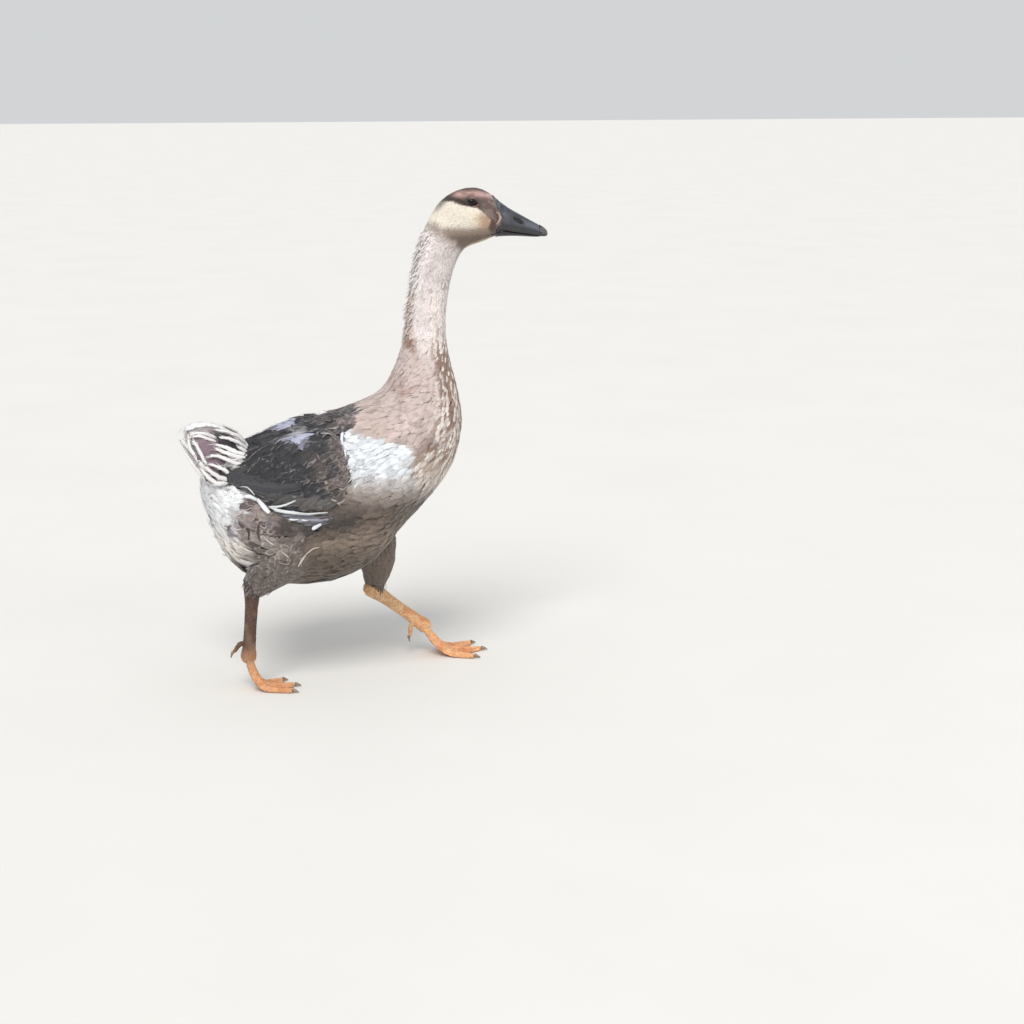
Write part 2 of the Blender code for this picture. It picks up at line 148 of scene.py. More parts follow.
def make_object(name, verts, faces, colours, uv=None, lie=None, soft=0.0):
    """A smooth mesh object from arrays. colours holds a value for each vertex under each attribute's name,
    and lie the normal of the body under each vertex, towards which the shading leans by soft."""
    mesh = bpy.data.meshes.new(name)
    loops = np.concatenate([f.ravel() for f in faces]).astype(np.int32)
    counts = np.concatenate([np.full(len(f), f.shape[1]) for f in faces])
    starts = (np.cumsum(counts) - counts).astype(np.int32)
    mesh.vertices.add(len(verts))
    mesh.vertices.foreach_set("co", np.asarray(verts, np.float32).ravel())
    mesh.loops.add(len(loops))
    mesh.loops.foreach_set("vertex_index", loops)
    mesh.polygons.add(len(counts))
    mesh.polygons.foreach_set("loop_start", starts)
    mesh.polygons.foreach_set("use_smooth", np.ones(len(counts), bool))
    mesh.update(calc_edges=True)
    if uv is not None:
        layer = mesh.uv_layers.new(name="OFBake")
        layer.data.foreach_set("uv", np.asarray(uv, np.float32)[loops].ravel())
    for title, values in colours.items():
        attribute = mesh.attributes.new(title, "FLOAT_COLOR", "POINT")
        four = np.ones((len(verts), 4), np.float32)
        four[:, :3] = values
        attribute.data.foreach_set("color", four.ravel())
    if soft:
        own = np.empty(len(verts) * 3, np.float32)
        mesh.vertex_normals.foreach_get("vector", own)
        leaning = unit(lie * soft + own.reshape(-1, 3) * (1 - soft)).astype(np.float32)
        attribute = mesh.attributes.new("custom_normal", "FLOAT_VECTOR", "POINT")
        attribute.data.foreach_set("vector", leaning.ravel())
    obj = bpy.data.objects.new(name, mesh)
    bpy.context.scene.collection.objects.link(obj)
    return obj


def dress(piece, material, slot, *nodes):
    """Gives a piece its material; slot is not used. It rides on the body, in place of the nodes that are
    named.
    """
    piece.data.materials.append(material)
    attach(piece, "root")
    if nodes:
        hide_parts(*nodes)


def mesh_arrays(mesh):
    """Vertices and triangles of a mesh."""
    verts = np.empty(len(mesh.vertices) * 3, np.float32)
    mesh.vertices.foreach_get("co", verts)
    mesh.calc_loop_triangles()
    tris = np.empty(len(mesh.loop_triangles) * 3, np.int32)
    mesh.loop_triangles.foreach_get("vertices", tris)
    return verts.reshape(-1, 3).astype(float), tris.reshape(-1, 3)


def node_arrays(*names):
    """Vertices and triangles of several CAD nodes, with the number of each triangle's node."""
    verts, tris, owner, base = [], [], [], 0
    for number, name in enumerate(names):
        v, t = mesh_arrays(NODES[name].data)
        verts.append(v)
        tris.append(t + base)
        owner += [number] * len(t)
        base += len(v)
    return np.concatenate(verts), np.concatenate(tris), np.array(owner)


def find_tree(verts, tris):
    """A search tree over triangles."""
    return BVHTree.FromPolygons(verts.tolist(), tris.tolist())


class Surface:
    """A triangle mesh held as arrays."""

    def __init__(self, verts, tris):
        self.v, self.t = verts, tris
        pairs = np.sort(np.concatenate([tris[:, (0, 1)], tris[:, (1, 2)], tris[:, (2, 0)]]), axis=1)
        self.edges = np.unique(pairs, axis=0)
        self.count = np.maximum(np.bincount(self.edges.ravel(), minlength=len(verts)), 1)

    def around(self, values):
        """Mean of each vertex's neighbours."""
        a, b = self.edges.T
        n = len(self.v)
        sums = [np.bincount(a, column[b], n) + np.bincount(b, column[a], n) for column in values.T]
        return np.stack(sums, 1) / self.count[:, None]

    def relax(self, values, times):
        """Evens out a value of each vertex, a number or a vector, over the neighbours."""
        flat = np.ndim(values) == 1
        values = values[:, None] * 1.0 if flat else values
        for _ in range(times):
            values = values + (self.around(values) - values) * 0.5
        return values[:, 0] if flat else values

    def smooth(self, times):
        """Takes out steps and facets without shrinking the form."""
        for _ in range(times):
            self.v = self.v + (self.around(self.v) - self.v) * 0.5
            self.v = self.v - (self.around(self.v) - self.v) * 0.52

    def corner_cross(self):
        p = self.v[self.t]
        return np.cross(p[:, 1] - p[:, 0], p[:, 2] - p[:, 0])

    def normals(self, times):
        """The way each vertex faces, evened out over its neighbours."""
        face = self.corner_cross()
        total = np.zeros_like(self.v)
        for corner in range(3):
            for k in range(3):
                total[:, k] += np.bincount(self.t[:, corner], face[:, k], len(self.v))
        return unit(self.relax(unit(total), times))

    def areas(self):
        return np.linalg.norm(self.corner_cross(), axis=1) / 2


def remeshed(verts, tris, voxel, smooth, finer=()):
    """One closed surface round all the given solids, with smaller faces where each test of finer holds.
    smooth has the rounds of smoothing before the first test and after each."""
    source = make_object("remesh_source", verts, [tris], {})
    modifier = source.modifiers.new("voxels", "REMESH")
    modifier.mode = "VOXEL"
    modifier.voxel_size = voxel
    evaluated = source.evaluated_get(bpy.context.evaluated_depsgraph_get())
    bm = bmesh.new()
    bm.from_mesh(evaluated.to_mesh())
    evaluated.to_mesh_clear()
    bpy.data.meshes.remove(source.data)
    for times, chosen in zip(smooth, (None, *finer)):
        if chosen:
            centres = np.array([(e.verts[0].co + e.verts[1].co) / 2 for e in bm.edges])
            edges = [e for e, take in zip(bm.edges, chosen(centres)) if take]
            bmesh.ops.subdivide_edges(bm, edges=edges, cuts=1, use_grid_fill=True)
        level = bpy.data.meshes.new("remesh_level")
        bm.to_mesh(level)
        made = Surface(*mesh_arrays(level))
        bpy.data.meshes.remove(level)
        made.smooth(times)
        for vert, place in zip(bm.verts, made.v):
            vert.co = place
    bm.free()
    return made


# ---------------------------------------------------------------- the body's own coordinates

def smooth_rows(rows, steps):
    """The rows with steps in each span, on a Catmull-Rom curve through every row."""
    rows = np.array(rows, float)
    padded = np.vstack([2 * rows[0] - rows[1], rows, 2 * rows[-1] - rows[-2]])
    made = []
    for i in range(len(rows) - 1):
        a, b, c, d = padded[i:i + 4]
        for t in np.arange(steps) / steps:
            made.append(0.5 * (2 * b + (c - a) * t + (2 * a - 5 * b + 4 * c - d) * t ** 2
                               + (3 * b - a - 3 * c + d) * t ** 3))
    made.append(rows[-1])
    return np.array(made)


STEPS = 10
LINES = smooth_rows(BODY, STEPS)
LINES[:, (0, 2)] -= MIDDLE_X
LINES[:, :5] *= MM
LINE_BACK, LINE_BELLY = LINES[:, 0:2], LINES[:, 2:4]
LINE_AXIS = LINE_BELLY - LINE_BACK
LINE_LENGTH = np.linalg.norm(LINE_AXIS, axis=1)
LINE_CENTRE = LINE_BACK + LINE_AXIS * 0.5
LINE_ALONG = np.stack([LINE_AXIS[:, 1], -LINE_AXIS[:, 0]], 1) / LINE_LENGTH[:, None]
LINE_ALONG *= np.sign(np.sum(LINE_ALONG * np.gradient(LINE_CENTRE, axis=0), axis=1))[:, None]


def body_place(points):
    """Each point's row from the tail's 0 to the bill's 23, its angle round from the back's 0 to the belly's
    pi, and the way to the tail there."""
    row, angle, flow = np.empty(len(points)), np.empty(len(points)), np.zeros((len(points), 3))
    spacings = np.linalg.norm(np.gradient(LINE_CENTRE, axis=0), axis=1)
    for start in range(0, len(points), 20000):
        p = points[start:start + 20000]
        part, pick = slice(start, start + len(p)), np.arange(len(p))
        rel = p[:, None, (0, 2)] - LINE_BACK[None]
        ahead = np.sum(rel * LINE_ALONG[None], axis=2)
        down = np.sum(rel * LINE_AXIS[None], axis=2) / LINE_LENGTH[None] ** 2
        off = (np.maximum(0, -0.15 - down) + np.maximum(0, down - 1.15)) * LINE_LENGTH[None]
        best = np.argmin(np.abs(ahead) + 2.5 * off, axis=1)
        row[part] = (best + np.clip(ahead[pick, best] / spacings[best], -0.6, 0.6)) / STEPS
        height = (LINES[best, 5] - down[pick, best]) * LINE_LENGTH[best]
        angle[part] = np.arctan2(np.abs(p[:, 1]), height)
        flow[part, 0], flow[part, 2] = -LINE_ALONG[best].T
    return row, angle, flow


def eye_place(points):
    """Position along and across the eye's slit, and how far out an ellipse through the point lies: the lids'
    edge is at 1."""
    rel = points - EYE * (1, 0, 1)
    c, s = math.cos(EYE_SLIT), math.sin(EYE_SLIT)
    along = rel[:, 0] * c + rel[:, 2] * s
    across = -rel[:, 0] * s + rel[:, 2] * c
    pinch = 1 + 0.35 * np.clip(np.abs(along) / 0.006, 0, 1.2) ** 2
    out = np.sqrt((along / SLIT_LENGTH) ** 2 + (across * pinch / SLIT_HEIGHT) ** 2)
    return along, across, np.where(points[:, 2] > 0.6, out, 99.0)


# ---------------------------------------------------------------- the skin

BODY_END = 17.5                     # the row where the neck ends and the head begins
LID_INNER, LID_OUTER = 0.98, 2.6    # where the eye's socket ends and where the lids' folds end


def eye_within(reach):
    """A test for places within reach of an eye."""
    return lambda c: np.minimum(*(np.linalg.norm(c - EYE * (1, s, 1), axis=1) for _, s in SIDES)) < reach


FLESH = ("trunk", "neck_lower", "neck_upper", "head", "thigh_left", "thigh_right", "wing_left", "wing_right")
flesh_verts, flesh_tris, flesh_owner = node_arrays(*FLESH, "bill_upper", "bill_lower")
on_head = lambda c: (c[:, 2] > 0.603) & (c[:, 0] > 0.066)
finer = (on_head, eye_within(0.017), eye_within(0.0135))
outer = remeshed(flesh_verts, flesh_tris, SKIN_VOXEL, (10, 4, 3, 2), finer)
flesh_tree = find_tree(flesh_verts, flesh_tris)
owner = np.array([flesh_owner[flesh_tree.find_nearest(Vector(p))[2]] for p in outer.v])
is_thigh, is_wing = (outer.relax(np.isin(owner, pair), 3) for pair in ((4, 5), (6, 7)))
out_normal = outer.normals(2)
row, angle, flow = body_place(outer.v)
eye_along, eye_across, eye_out = eye_place(outer.v)
X, Y, Z = (outer.v / MM).T

# the plumage along the body: row, and in mm the feathers' length, half width and spacing and the coat's depth
PLUMAGE = np.array((
    (0, 38, 4.6, 4.8, 9), (3, 42, 4.8, 5.0, 10), (6, 42, 4.6, 4.8, 10), (8, 36, 4.0, 4.2, 9),
    (10, 30, 3.4, 3.6, 7.5), (12, 23, 2.8, 3.0, 5.4), (14, 18, 2.4, 2.6, 4), (16, 15, 2.0, 2.2, 3.2),
    (18, 11, 1.3, 1.5, 2.2), (19, 9.5, 0.85, 1.12, 1.6), (20, 8, 0.7, 1.02, 1.3), (21, 6.8, 0.62, 0.96, 1.2),
    (22, 5.6, 0.55, 0.92, 1.1), (23, 4.2, 0.5, 0.88, 1.0)))
length, half, spacing, depth = (np.interp(row, PLUMAGE[:, 0], column) * MM for column in PLUMAGE.T[1:])
thigh_low = is_thigh * step(Z, 235, 130)
wing_back = is_wing * step(X, -40, -190)
near_lid = step(eye_out, 4.2, 1.4)
length = length * (1 - 0.55 * thigh_low) * (1 + 0.25 * wing_back) * (1 - 0.2 * is_wing * (1 - wing_back))
half, spacing = half * (1 - 0.5 * thigh_low), spacing * (1 - 0.5 * thigh_low)
depth = depth * (1 - 0.45 * thigh_low) * (1 - 0.4 * is_wing) * (1 - 0.55 * wing_back)
length, half, spacing, depth = (outer.relax(size * (1 - share * near_lid), 4) for size, share in
                                ((length, 0.5), (half, 0.25), (spacing, 0.2), (depth, 0.3)))

# The lie of the coat: to the tail along the body, down and back over the wings, and down each thigh.
wing_way = unit(np.stack([-np.ones(len(Z)), 0 * Z, -0.12 - 0.75 * step(Z, 285, 350)], 1))
thigh_way = np.where(Y[:, None] > 0, (0.34, 0, -0.94), (-0.45, 0, -0.86))
faces_back = step(out_normal[:, 0], -0.05, -0.5)
thigh_rear = faces_back * np.where(Y > 0, step(Z, 140, 165), step(Z, 165, 185))
BODY_MEASURES = {"x": X, "z": Z, "side": np.abs(Y)}
mantle_lie = steps_of(BODY_MEASURES, x=(0, -50, -215, -185), z=(330, 380), side=(8, 45)) * (1 - is_wing)
shoulder_lie = steps_of(BODY_MEASURES, x=(-72, -52, 66, 40), z=(290, 312, 392, 372), side=(30, 55))
for way, share in ((wing_way, is_wing), (unit(np.array((-1, 0, -0.55))), mantle_lie * 0.8),
                   (np.array((-0.86, 0, -0.51)), shoulder_lie * 0.85),
                   (blend(thigh_way, np.array((-0.90, 0, -0.25)), thigh_rear), is_thigh)):
    flow = blend(flow, way, share)
flow = outer.relax(unit(flow), 20)
flow = unit(flow - out_normal * np.sum(flow * out_normal, 1, keepdims=True))

# The skin lies inside the coat's outline by the coat's depth, with lids and folds round the eyes.
skin = Surface(outer.v.copy(), outer.t)
SINKS = 6
for _ in range(SINKS):
    skin.v = skin.v - skin.normals(3) * depth[:, None] / SINKS
    evened = skin.v + (skin.around(skin.v) - skin.v) * 0.4
    skin.v = np.where(row[:, None] < BODY_END, evened, skin.v)
BILL_ROOT = np.array((0.198, 0, 0.646))
ahead = np.clip((skin.v[:, 0] - 0.194) / 0.02, 0, 1) * (skin.v[:, 2] > 0.6)
skin.v = blend(skin.v, BILL_ROOT + (skin.v - BILL_ROOT) * (0.25, 0.3, 0.3), ahead)
away = np.hypot(eye_along, eye_across)
ball = EYE[1] + EYE_BULGE * np.sqrt(np.clip(1 - (away / EYE_RADIUS) ** 2, 0, 1))
lid_edge = 0.0006 * hill(eye_out, 1.22, 0.16) * np.where(eye_across > 0, 1.0, 0.8)
lid = ball + 0.0005 * step(eye_out, LID_INNER, 1.08) + lid_edge
lid_share = np.where(eye_out < 1.2, 1, step(eye_out, 2.3, 1.2))
fold = np.sin((eye_out - 1.3) * 13) * hill(eye_out, 1.8, 0.36) * 0.00022
drawn = np.abs(skin.v[:, 1]) * (1 - lid_share) + lid * lid_share + fold
drawn = np.maximum(drawn, np.where(away < EYE_RADIUS, ball + 0.0004, 0))
drawn = np.where(eye_out < LID_INNER, ball - 0.0010, drawn)
skin.v[:, 1] = np.where(eye_out < LID_OUTER, np.sign(Y) * drawn, skin.v[:, 1])


# ---------------------------------------------------------------- markings

# Edges between colours, seen from the side: x and z in mm, or z and x for those that run up the body.
CAP_EDGE = ((60, 690), (84, 680), (91, 675.5), (100, 678.5), (112, 680), (121, 680), (132, 675.5),
            (141, 673), (153, 671.5), (160, 667), (170, 658.5), (175, 652), (176, 643), (177, 630))
WING_EDGE = ((-222, 312), (-196, 306), (-176, 294), (-156, 279), (-115, 272), (-53, 273), (-36, 279))
BACK_FRONT = ((260, -42), (279, -36), (300, -42), (344, -54), (364, -45), (378, -28), (390, -22), (403, -14),
              (425, -12))
VENT_EDGE = ((180, -201), (208, -199), (225, -198), (240, -200), (256, -193), (270, -190), (284, -188),
             (296, -182))
BILL_BASE = ((628, 186), (632, 184.4), (638, 182.6), (646, 187), (656, 193.6), (663, 190.6), (674, 185),
             (682, 182), (692, 180))
# The belly's colour at each height below: beige, darkened low down and at 250 to 266 mm by painted shade
# under the body and the wing.
BELLY = {186: (104, 92, 82), 218: (140, 124, 111), 250: (112, 99, 90), 266: (110, 99, 92),
         284: (160, 149, 142), 306: (196, 191, 189), 330: (222, 222, 223)}      # its colour at each height
BELLY_TONES = np.array([rgb(*tone) for tone in BELLY.values()])
RUMP_SPOTS = ((-199, 262, 6, 8, (142, 130, 134)), (-193, 243, 5.5, 8.5, (76, 56, 60)),
              (-204, 231, 4.5, 7.5, (128, 116, 122)))       # x, z, widths and colour
WHITE = rgb(240, 242, 243)
MAUVE = rgb(202, 184, 180)
BEIGE = rgb(118, 106, 97)
SLATE = rgb(50, 50, 53)


def along_edge(edge, x):
    return np.interp(x, *np.array(edge, float).T)


def spots(points, size, seed, low, high):
    return step(wave(points, size, seed), low, high)


def ripples(p, row, angle):
    """Thin furrows that run with the plumage of the trunk: 1 in their middle."""
    place = np.stack([angle * np.sign(p[:, 1]) * 8.0 + 0.8 * np.sin(row * 2.6), row * 1.15, 0 * row], 1)
    line = step(np.abs(wave(place + 40, 1.0, 91) - 0.5), 0.10, 0.02)
    return line * step(row, 11, 9.6) * step(row, 2, 3.5)


def paint(p, here):
    """The plumage's colour at each point, and the colour of the vane's edge there. Skin and coat share it."""
    x, y, z = (p / MM).T
    row, angle, wing, thigh = here.row, here.angle, here.wing, here.thigh
    measures = {"x": x, "y": y, "z": z, "side": np.abs(y), "row": row, "angle": angle, "wing": wing}
    fine, broad = wave(p, 0.006, 3), wave(p, 0.03, 5)
    tint, rim = (np.tile(colour, (len(p), 1)) for colour in (BEIGE, BEIGE * 1.1))
    at = lambda **limits: steps_of(measures, **limits)

    def lay(colour, share, edge=None):
        nonlocal tint, rim
        colour, edge = (rgb(*c) if isinstance(c, tuple) else c for c in (colour, edge))
        tint = blend(tint, colour, share)
        rim = blend(rim, colour if edge is None else edge, share)

    # trunk: beige belly, furrowed grey breast, white shoulder, mauve fore back
    level = z + 10 * (broad - 0.5) + 0.10 * (x + 20)
    # the belly's colours by height, with their painted shade
    belly = np.stack([np.interp(level, list(BELLY), column) for column in BELLY_TONES.T], 1)
    lay(belly, 1.0, belly * 1.08)
    lay((222, 209, 200), at(x=(44, 66), z=(268, 296)), (232, 220, 211))
    # painted shadow cast by the wing's lower edge on the flank below it
    shade_z = np.interp(x, (-137, -90, -44, -17), (241, 245, 251, 262))
    shade = hill(z, shade_z, 17) * at(x=(-14, -44, -164, -144))
    lay((66, 61, 58), shade * 0.94, (80, 74, 70))
    # painted shade under the wing's edge: the belly's colours darkened where the wing overhangs
    lay(belly * 0.8, at(x=(-34, -56), z=(262, 276, 318, 300)), belly * 0.86)
    front = step(z + 0.42 * x - 0.10 * np.abs(x), 346, 358) * at(x=(-84, -70))
    front = np.maximum(front, at(x=(44, 56), z=(292, 312)))
    lay(MAUVE, front, MAUVE * 1.06)
    lay((190, 172, 164), front * at(x=(30, 0), z=(350, 370)) * 0.8, (204, 188, 180))
    lay((188, 170, 160), front * spots(p, 0.007, 13, 0.55, 0.75) * 0.5)
    lay((222, 208, 196), at(x=(42, 62), z=(288, 304, 350, 328)) * 0.85, (232, 220, 210))
    shoulder = step(x + 5 * (fine - 0.5), 48, 42) * step(z + 0.27 * x, 364, 357)
    shoulder = shoulder * at(z=(302, 318), side=(40, 60))
    grain = np.stack([(0.86 * x + 0.51 * z) / 4.5, 0.86 * z - 0.51 * x, np.abs(y) / 3], 1)
    # grey strands through the white shoulder: painted shade in the gaps between its feathers, more of it low
    # down
    low = step(z + 0.2 * x, 346, 312)
    strand = step(wave(grain, 3.4, 23), 0.62 - 0.12 * low, 0.80 - 0.12 * low) * (0.45 + 0.4 * low)
    lay(blend(rgb(238, 242, 247), rgb(176, 176, 180), strand), shoulder, (236, 239, 243))
    # painted shade in the trunk's furrows: the colours darkened along their middle
    furrow = ripples(p, row, angle) * 0.75
    tint, rim = blend(tint, tint * 0.66, furrow), blend(rim, rim * 0.72, furrow)
    # neck
    lay((230, 217, 214), at(row=(11.3, 14)), (248, 241, 238))
    furrow = spots(p * (1, 1, 1.9), 0.0075, 11, 0.60, 0.78) * at(row=(13.5, 15.5, 18.6, 17.6))
    lay((150, 136, 130), 0.75 * furrow, (226, 216, 212))
    lay((250, 245, 243), at(angle=(1.1, 0.7), z=(500, 525, 645, 625)) * 0.5)
    lay((214, 204, 201), at(angle=(0.8, 1.2), z=(545, 580, 650, 620)) * 0.7)
    hind = at(angle=(0.75, 0.35), z=(478, 500, 566, 540))
    lay((176, 140, 126), hind * (0.4 + 0.6 * fine) * 0.8, (222, 202, 192))
    gash = step(np.abs(z - 490 + 16 * angle), 12, 4)
    gash = np.maximum(gash, 0.8 * step(np.abs(z - 436 + 22 * angle), 9, 4))
    lay((132, 96, 82), gash * at(angle=(0.95, 0.55)) * spots(p, 0.010, 57, 0.36, 0.56), (196, 168, 156))
    grain = np.stack([(angle + 0.03 * np.sin(row * 7)) * 0.068 * np.sign(y), row * 0.0028, 0 * z], 1)
    streak = wave(grain, 0.0036, 21)
    front_neck = at(angle=(1.35, 1.8), row=(15, 13), z=(296, 330))
    lay((132, 103, 86), front_neck * step(streak, 0.47, 0.59) * 0.92, (164, 136, 119))
    lay((240, 231, 222), front_neck * step(streak, 0.44, 0.34) * 0.8)
    # back and wings
    ahead = x - along_edge(BACK_FRONT, z)
    dark_back = step(ahead - 10 * (fine - 0.5), 4, -4) * step(z + 0.25 * np.minimum(x + 60, 0), 346, 362)
    dark_back = np.maximum(dark_back * (row < 10), at(x=(-100, -112, -196, -184), z=(326, 340)))
    over = np.maximum(at(wing=(0.25, 0.5)) * step(ahead, 10, 2), dark_back)
    lay(SLATE, over, (88, 88, 92))
    lay(SLATE * 0.72, over * at(x=(-135, -170), z=(296, 316)), (72, 72, 76))
    brown = step(x + 0.2 * (z - 340), -84, -46) * (0.3 + 0.7 * spots(p, 0.016, 31, 0.4, 0.62))
    brown = over * np.maximum(brown, step(ahead, -30, -14) * at(z=(300, 285)) * 0.9)
    lay((88, 78, 77), brown, (154, 142, 141))
    olive = over * at(z=(352, 336), x=(-118, -86)) * spots(p, 0.014, 37, 0.42, 0.62)
    lay((84, 76, 73), olive, (160, 148, 140))
    lavender = step(hill(x + 0.5 * (z - 371), -121, 20) * hill(z, 371, 18), 0.32, 0.55)
    lay((172, 174, 194), over * lavender * at(side=(18, 34)), (208, 210, 226))
    # flank and thigh
    off_wing = 1 - at(wing=(0.3, 0.6))
    flank = at(x=(-138, -156), z=(292, 278, 170, 195), side=(44, 60)) * off_wing
    flank = np.maximum(flank, thigh * at(x=(-100, -122)))
    mottle = spots(p, 0.010, 41, 0.36, 0.58)
    upper, lower = (blend(rgb(*pale_tone), rgb(*dark_tone), mottle) for pale_tone, dark_tone in
                    (((168, 154, 150), (86, 72, 70)), ((118, 109, 104), (84, 77, 73))))
    lay(blend(upper, lower, at(z=(232, 204))), flank, (170, 158, 153))
    lay((112, 101, 92), thigh * at(z=(215, 165), x=(-110, -80)), (130, 117, 107))
    lay((98, 90, 84), thigh * at(z=(235, 180), x=(-90, -110)) * 0.8, (132, 122, 115))
    lay((150, 144, 141), flank * hill(x, -157, 12) * hill(z, 228, 7) * 0.8, (196, 186, 181))
    lay((154, 144, 138), flank * hill(x, -149, 19) * hill(z, 218, 12) * 0.85, (190, 180, 174))
    lay((88, 80, 76), flank * at(x=(-160, -174), z=(224, 212)) * 0.7, (128, 118, 113))
    # the painted shadow under the wing again, laid over the thigh's colours
    lay((68, 62, 60), shade * at(x=(-84, -104, -150, -134)) * 0.85, (82, 76, 73))
    lay((92, 89, 90), flank * at(z=(244, 250, 264, 258), x=(-164, -154)) * 0.8, (120, 116, 118))
    # painted shade at the rear of the flank: a darker copy of its own colours
    dusk = flank * at(x=(-164, -176), z=(226, 236))
    lay(tint * 0.84, dusk, rim * 0.84)
    vent = step(x - along_edge(VENT_EDGE, z) - 8 * (fine - 0.5), 4, -3) * off_wing * at(z=(156, 172))
    lay(blend(rgb(240, 231, 224), WHITE, at(z=(205, 245))), vent, WHITE)
    lay((244, 236, 230), at(y=(-18, -32), x=(-184, -194), z=(176, 190, 230, 206)) * 0.95)
    for spot_x, spot_z, wide, high, colour in RUMP_SPOTS:
        out = ((x - spot_x) / wide) ** 2 + ((z - spot_z) / high) ** 2
        lay(colour, hill(out, 0, 1) * off_wing * 0.95)
    lay((240, 236, 234), at(x=(-184, -197), z=(318, 334)))
    # head: brown cap and lore, cream cheek, tan throat
    head = at(row=(17.4, 18.2))
    lay((253, 242, 226), head * at(z=(636, 648)), (255, 250, 238))
    # the lower head greyer tan: partly its own colour and partly painted shade under the light from above
    lay((190, 178, 168), head * at(z=(656, 646), x=(104, 96)))
    lay((238, 216, 190), head * at(x=(138, 156), z=(670, 660)) * 0.7, (246, 228, 204))
    lay((200, 167, 143), head * at(x=(148, 164), z=(668, 656)), (214, 184, 160))
    lay((150, 136, 124), head * hill(x, 93, 7) * hill(z, 642, 6) * 0.8)
    # the throat's tan: partly its own colour and partly painted shade on the head's underside
    throat = step(z + 2 * (broad - 0.5), 650, 638) * at(x=(92, 108))
    lay((158, 139, 124), head * throat * 0.95, (176, 158, 143))
    throat = at(z=(640, 629), x=(104, 120)) * spots(p, 0.012, 55, 0.1, 0.4)
    lay((116, 99, 86), head * throat * 0.85, (138, 120, 106))
    lay((236, 220, 190), head * at(angle=(2.55, 2.85), x=(118, 140)))
    over_edge = z - along_edge(CAP_EDGE, x)
    cap = head * step(over_edge + 2.2 * (fine - 0.5), -1.2, 1.8)
    cap = np.maximum(cap, 0.7 * at(angle=(0.42, 0.2), z=(662, 678)) * head)
    lay((94, 80, 74), cap, (114, 100, 93))
    # painted highlight along the top of the crown, pinkish on the brown cap
    crown_highlight = hill(z, np.interp(x, (118, 132, 151, 168, 183), (687, 690.5, 691.0, 689.5, 684)), 4.8)
    crown_highlight = crown_highlight * at(x=(114, 130)) * (0.55 + 0.45 * spots(p, 0.006, 51, 0.25, 0.55))
    lay((206, 164, 158), cap * crown_highlight, (228, 192, 187))
    # painted highlight at the front of the crown
    lay((232, 196, 188), cap * hill(x, 171, 11) * hill(z + 0.25 * (x - 165), 690.5, 2.6) * 0.8)
    lay((84, 70, 65), cap * at(z=(693, 698)) * 0.5)
    lay((58, 44, 38), cap * hill(over_edge, 4.5, 3.6) * at(x=(160, 148)) * 0.9)
    lore = blend(rgb(146, 126, 118), rgb(112, 92, 84), spots(p * (1, 1, 0.6), 0.004, 59, 0.4, 0.62))
    lay(lore, cap * at(x=(158, 166), z=(686, 680)), (164, 144, 136))
    lay((104, 80, 70), head * step(np.hypot(x - 177, (z - 645) * 0.7), 7.5, 4.5))
    crescent = x - 188.4 + ((z - 657) / 3.5) ** 2
    lay((86, 64, 56), head * step(np.abs(crescent + 3.2), 2.2, 0.9) * step(np.abs(z - 655), 14, 8) * 0.8)
    lay((230, 200, 180), head * step(np.abs(crescent), 1.7, 0.7) * step(np.abs(z - 656.5), 11, 7) * 0.7)
    # bare rim of the eye
    along, across, out = eye_place(p)
    lay((30, 24, 22), step(out, 2.0, 1.3))
    pink = step(np.abs(out - 1.45), 0.24, 0.1) * step(along, 0.0004, 0.003) * step(across, 0.0014, -0.0004)
    lay((206, 160, 146), pink * spots(p, 0.0022, 53, 0.35, 0.5))
    return tint, rim


# ---------------------------------------------------------------- feathers

OUTER_TREE = find_tree(outer.v, outer.t)
PER_VERTEX = np.column_stack([out_normal, flow, depth, length, half, row, angle, is_wing, is_thigh])
SHOWS_FROM = 0.8                    # the share of a feather's length that others cover
# stations along a feather and its section: small plumes of the face, plumes of the body, long feathers
FINE = (0, 0.36, 0.76, 1), np.array([(-1, -0.3), (0, 0.8), (1, -0.3)])
SMALL = (0, 0.22, 0.5, 0.78, 0.93, 1), np.array([(-1, 0), (0, 0.8), (1, 0), (0, -0.6)])
LONG = (0, 0.18, 0.4, 0.62, 0.8, 0.93, 1), np.array([(-1, 0), (-0.55, 0.5), (0, 0.9), (0.55, 0.5), (1, 0),
                                                      (0, -0.6)])


def values_at(points, tri):
    """The body's values at points on the outline's triangles."""
    a, b, c = (outer.v[outer.t[tri, k]] for k in range(3))
    n = np.cross(b - a, c - a)
    scale = np.sum(n * n, 1)
    w0 = np.sum(np.cross(c - b, points - b) * n, 1) / scale
    w1 = np.sum(np.cross(a - c, points - c) * n, 1) / scale
    w = np.clip(np.stack([w0, w1, 1 - w0 - w1], 1), 0, 1)
    got = sum(PER_VERTEX[outer.t[tri, k]] * w[:, k, None] for k in range(3)) / w.sum(1, keepdims=True)
    names = ("depth", "length", "half", "row", "angle", "wing", "thigh")
    return SimpleNamespace(normal=unit(got[:, :3]), lie=unit(got[:, 3:6]), **dict(zip(names, got[:, 6:].T)))


def nearest(points):
    found = [OUTER_TREE.find_nearest(Vector(p)) for p in points.tolist()]
    return np.array([f[0] for f in found]), np.array([f[2] for f in found])


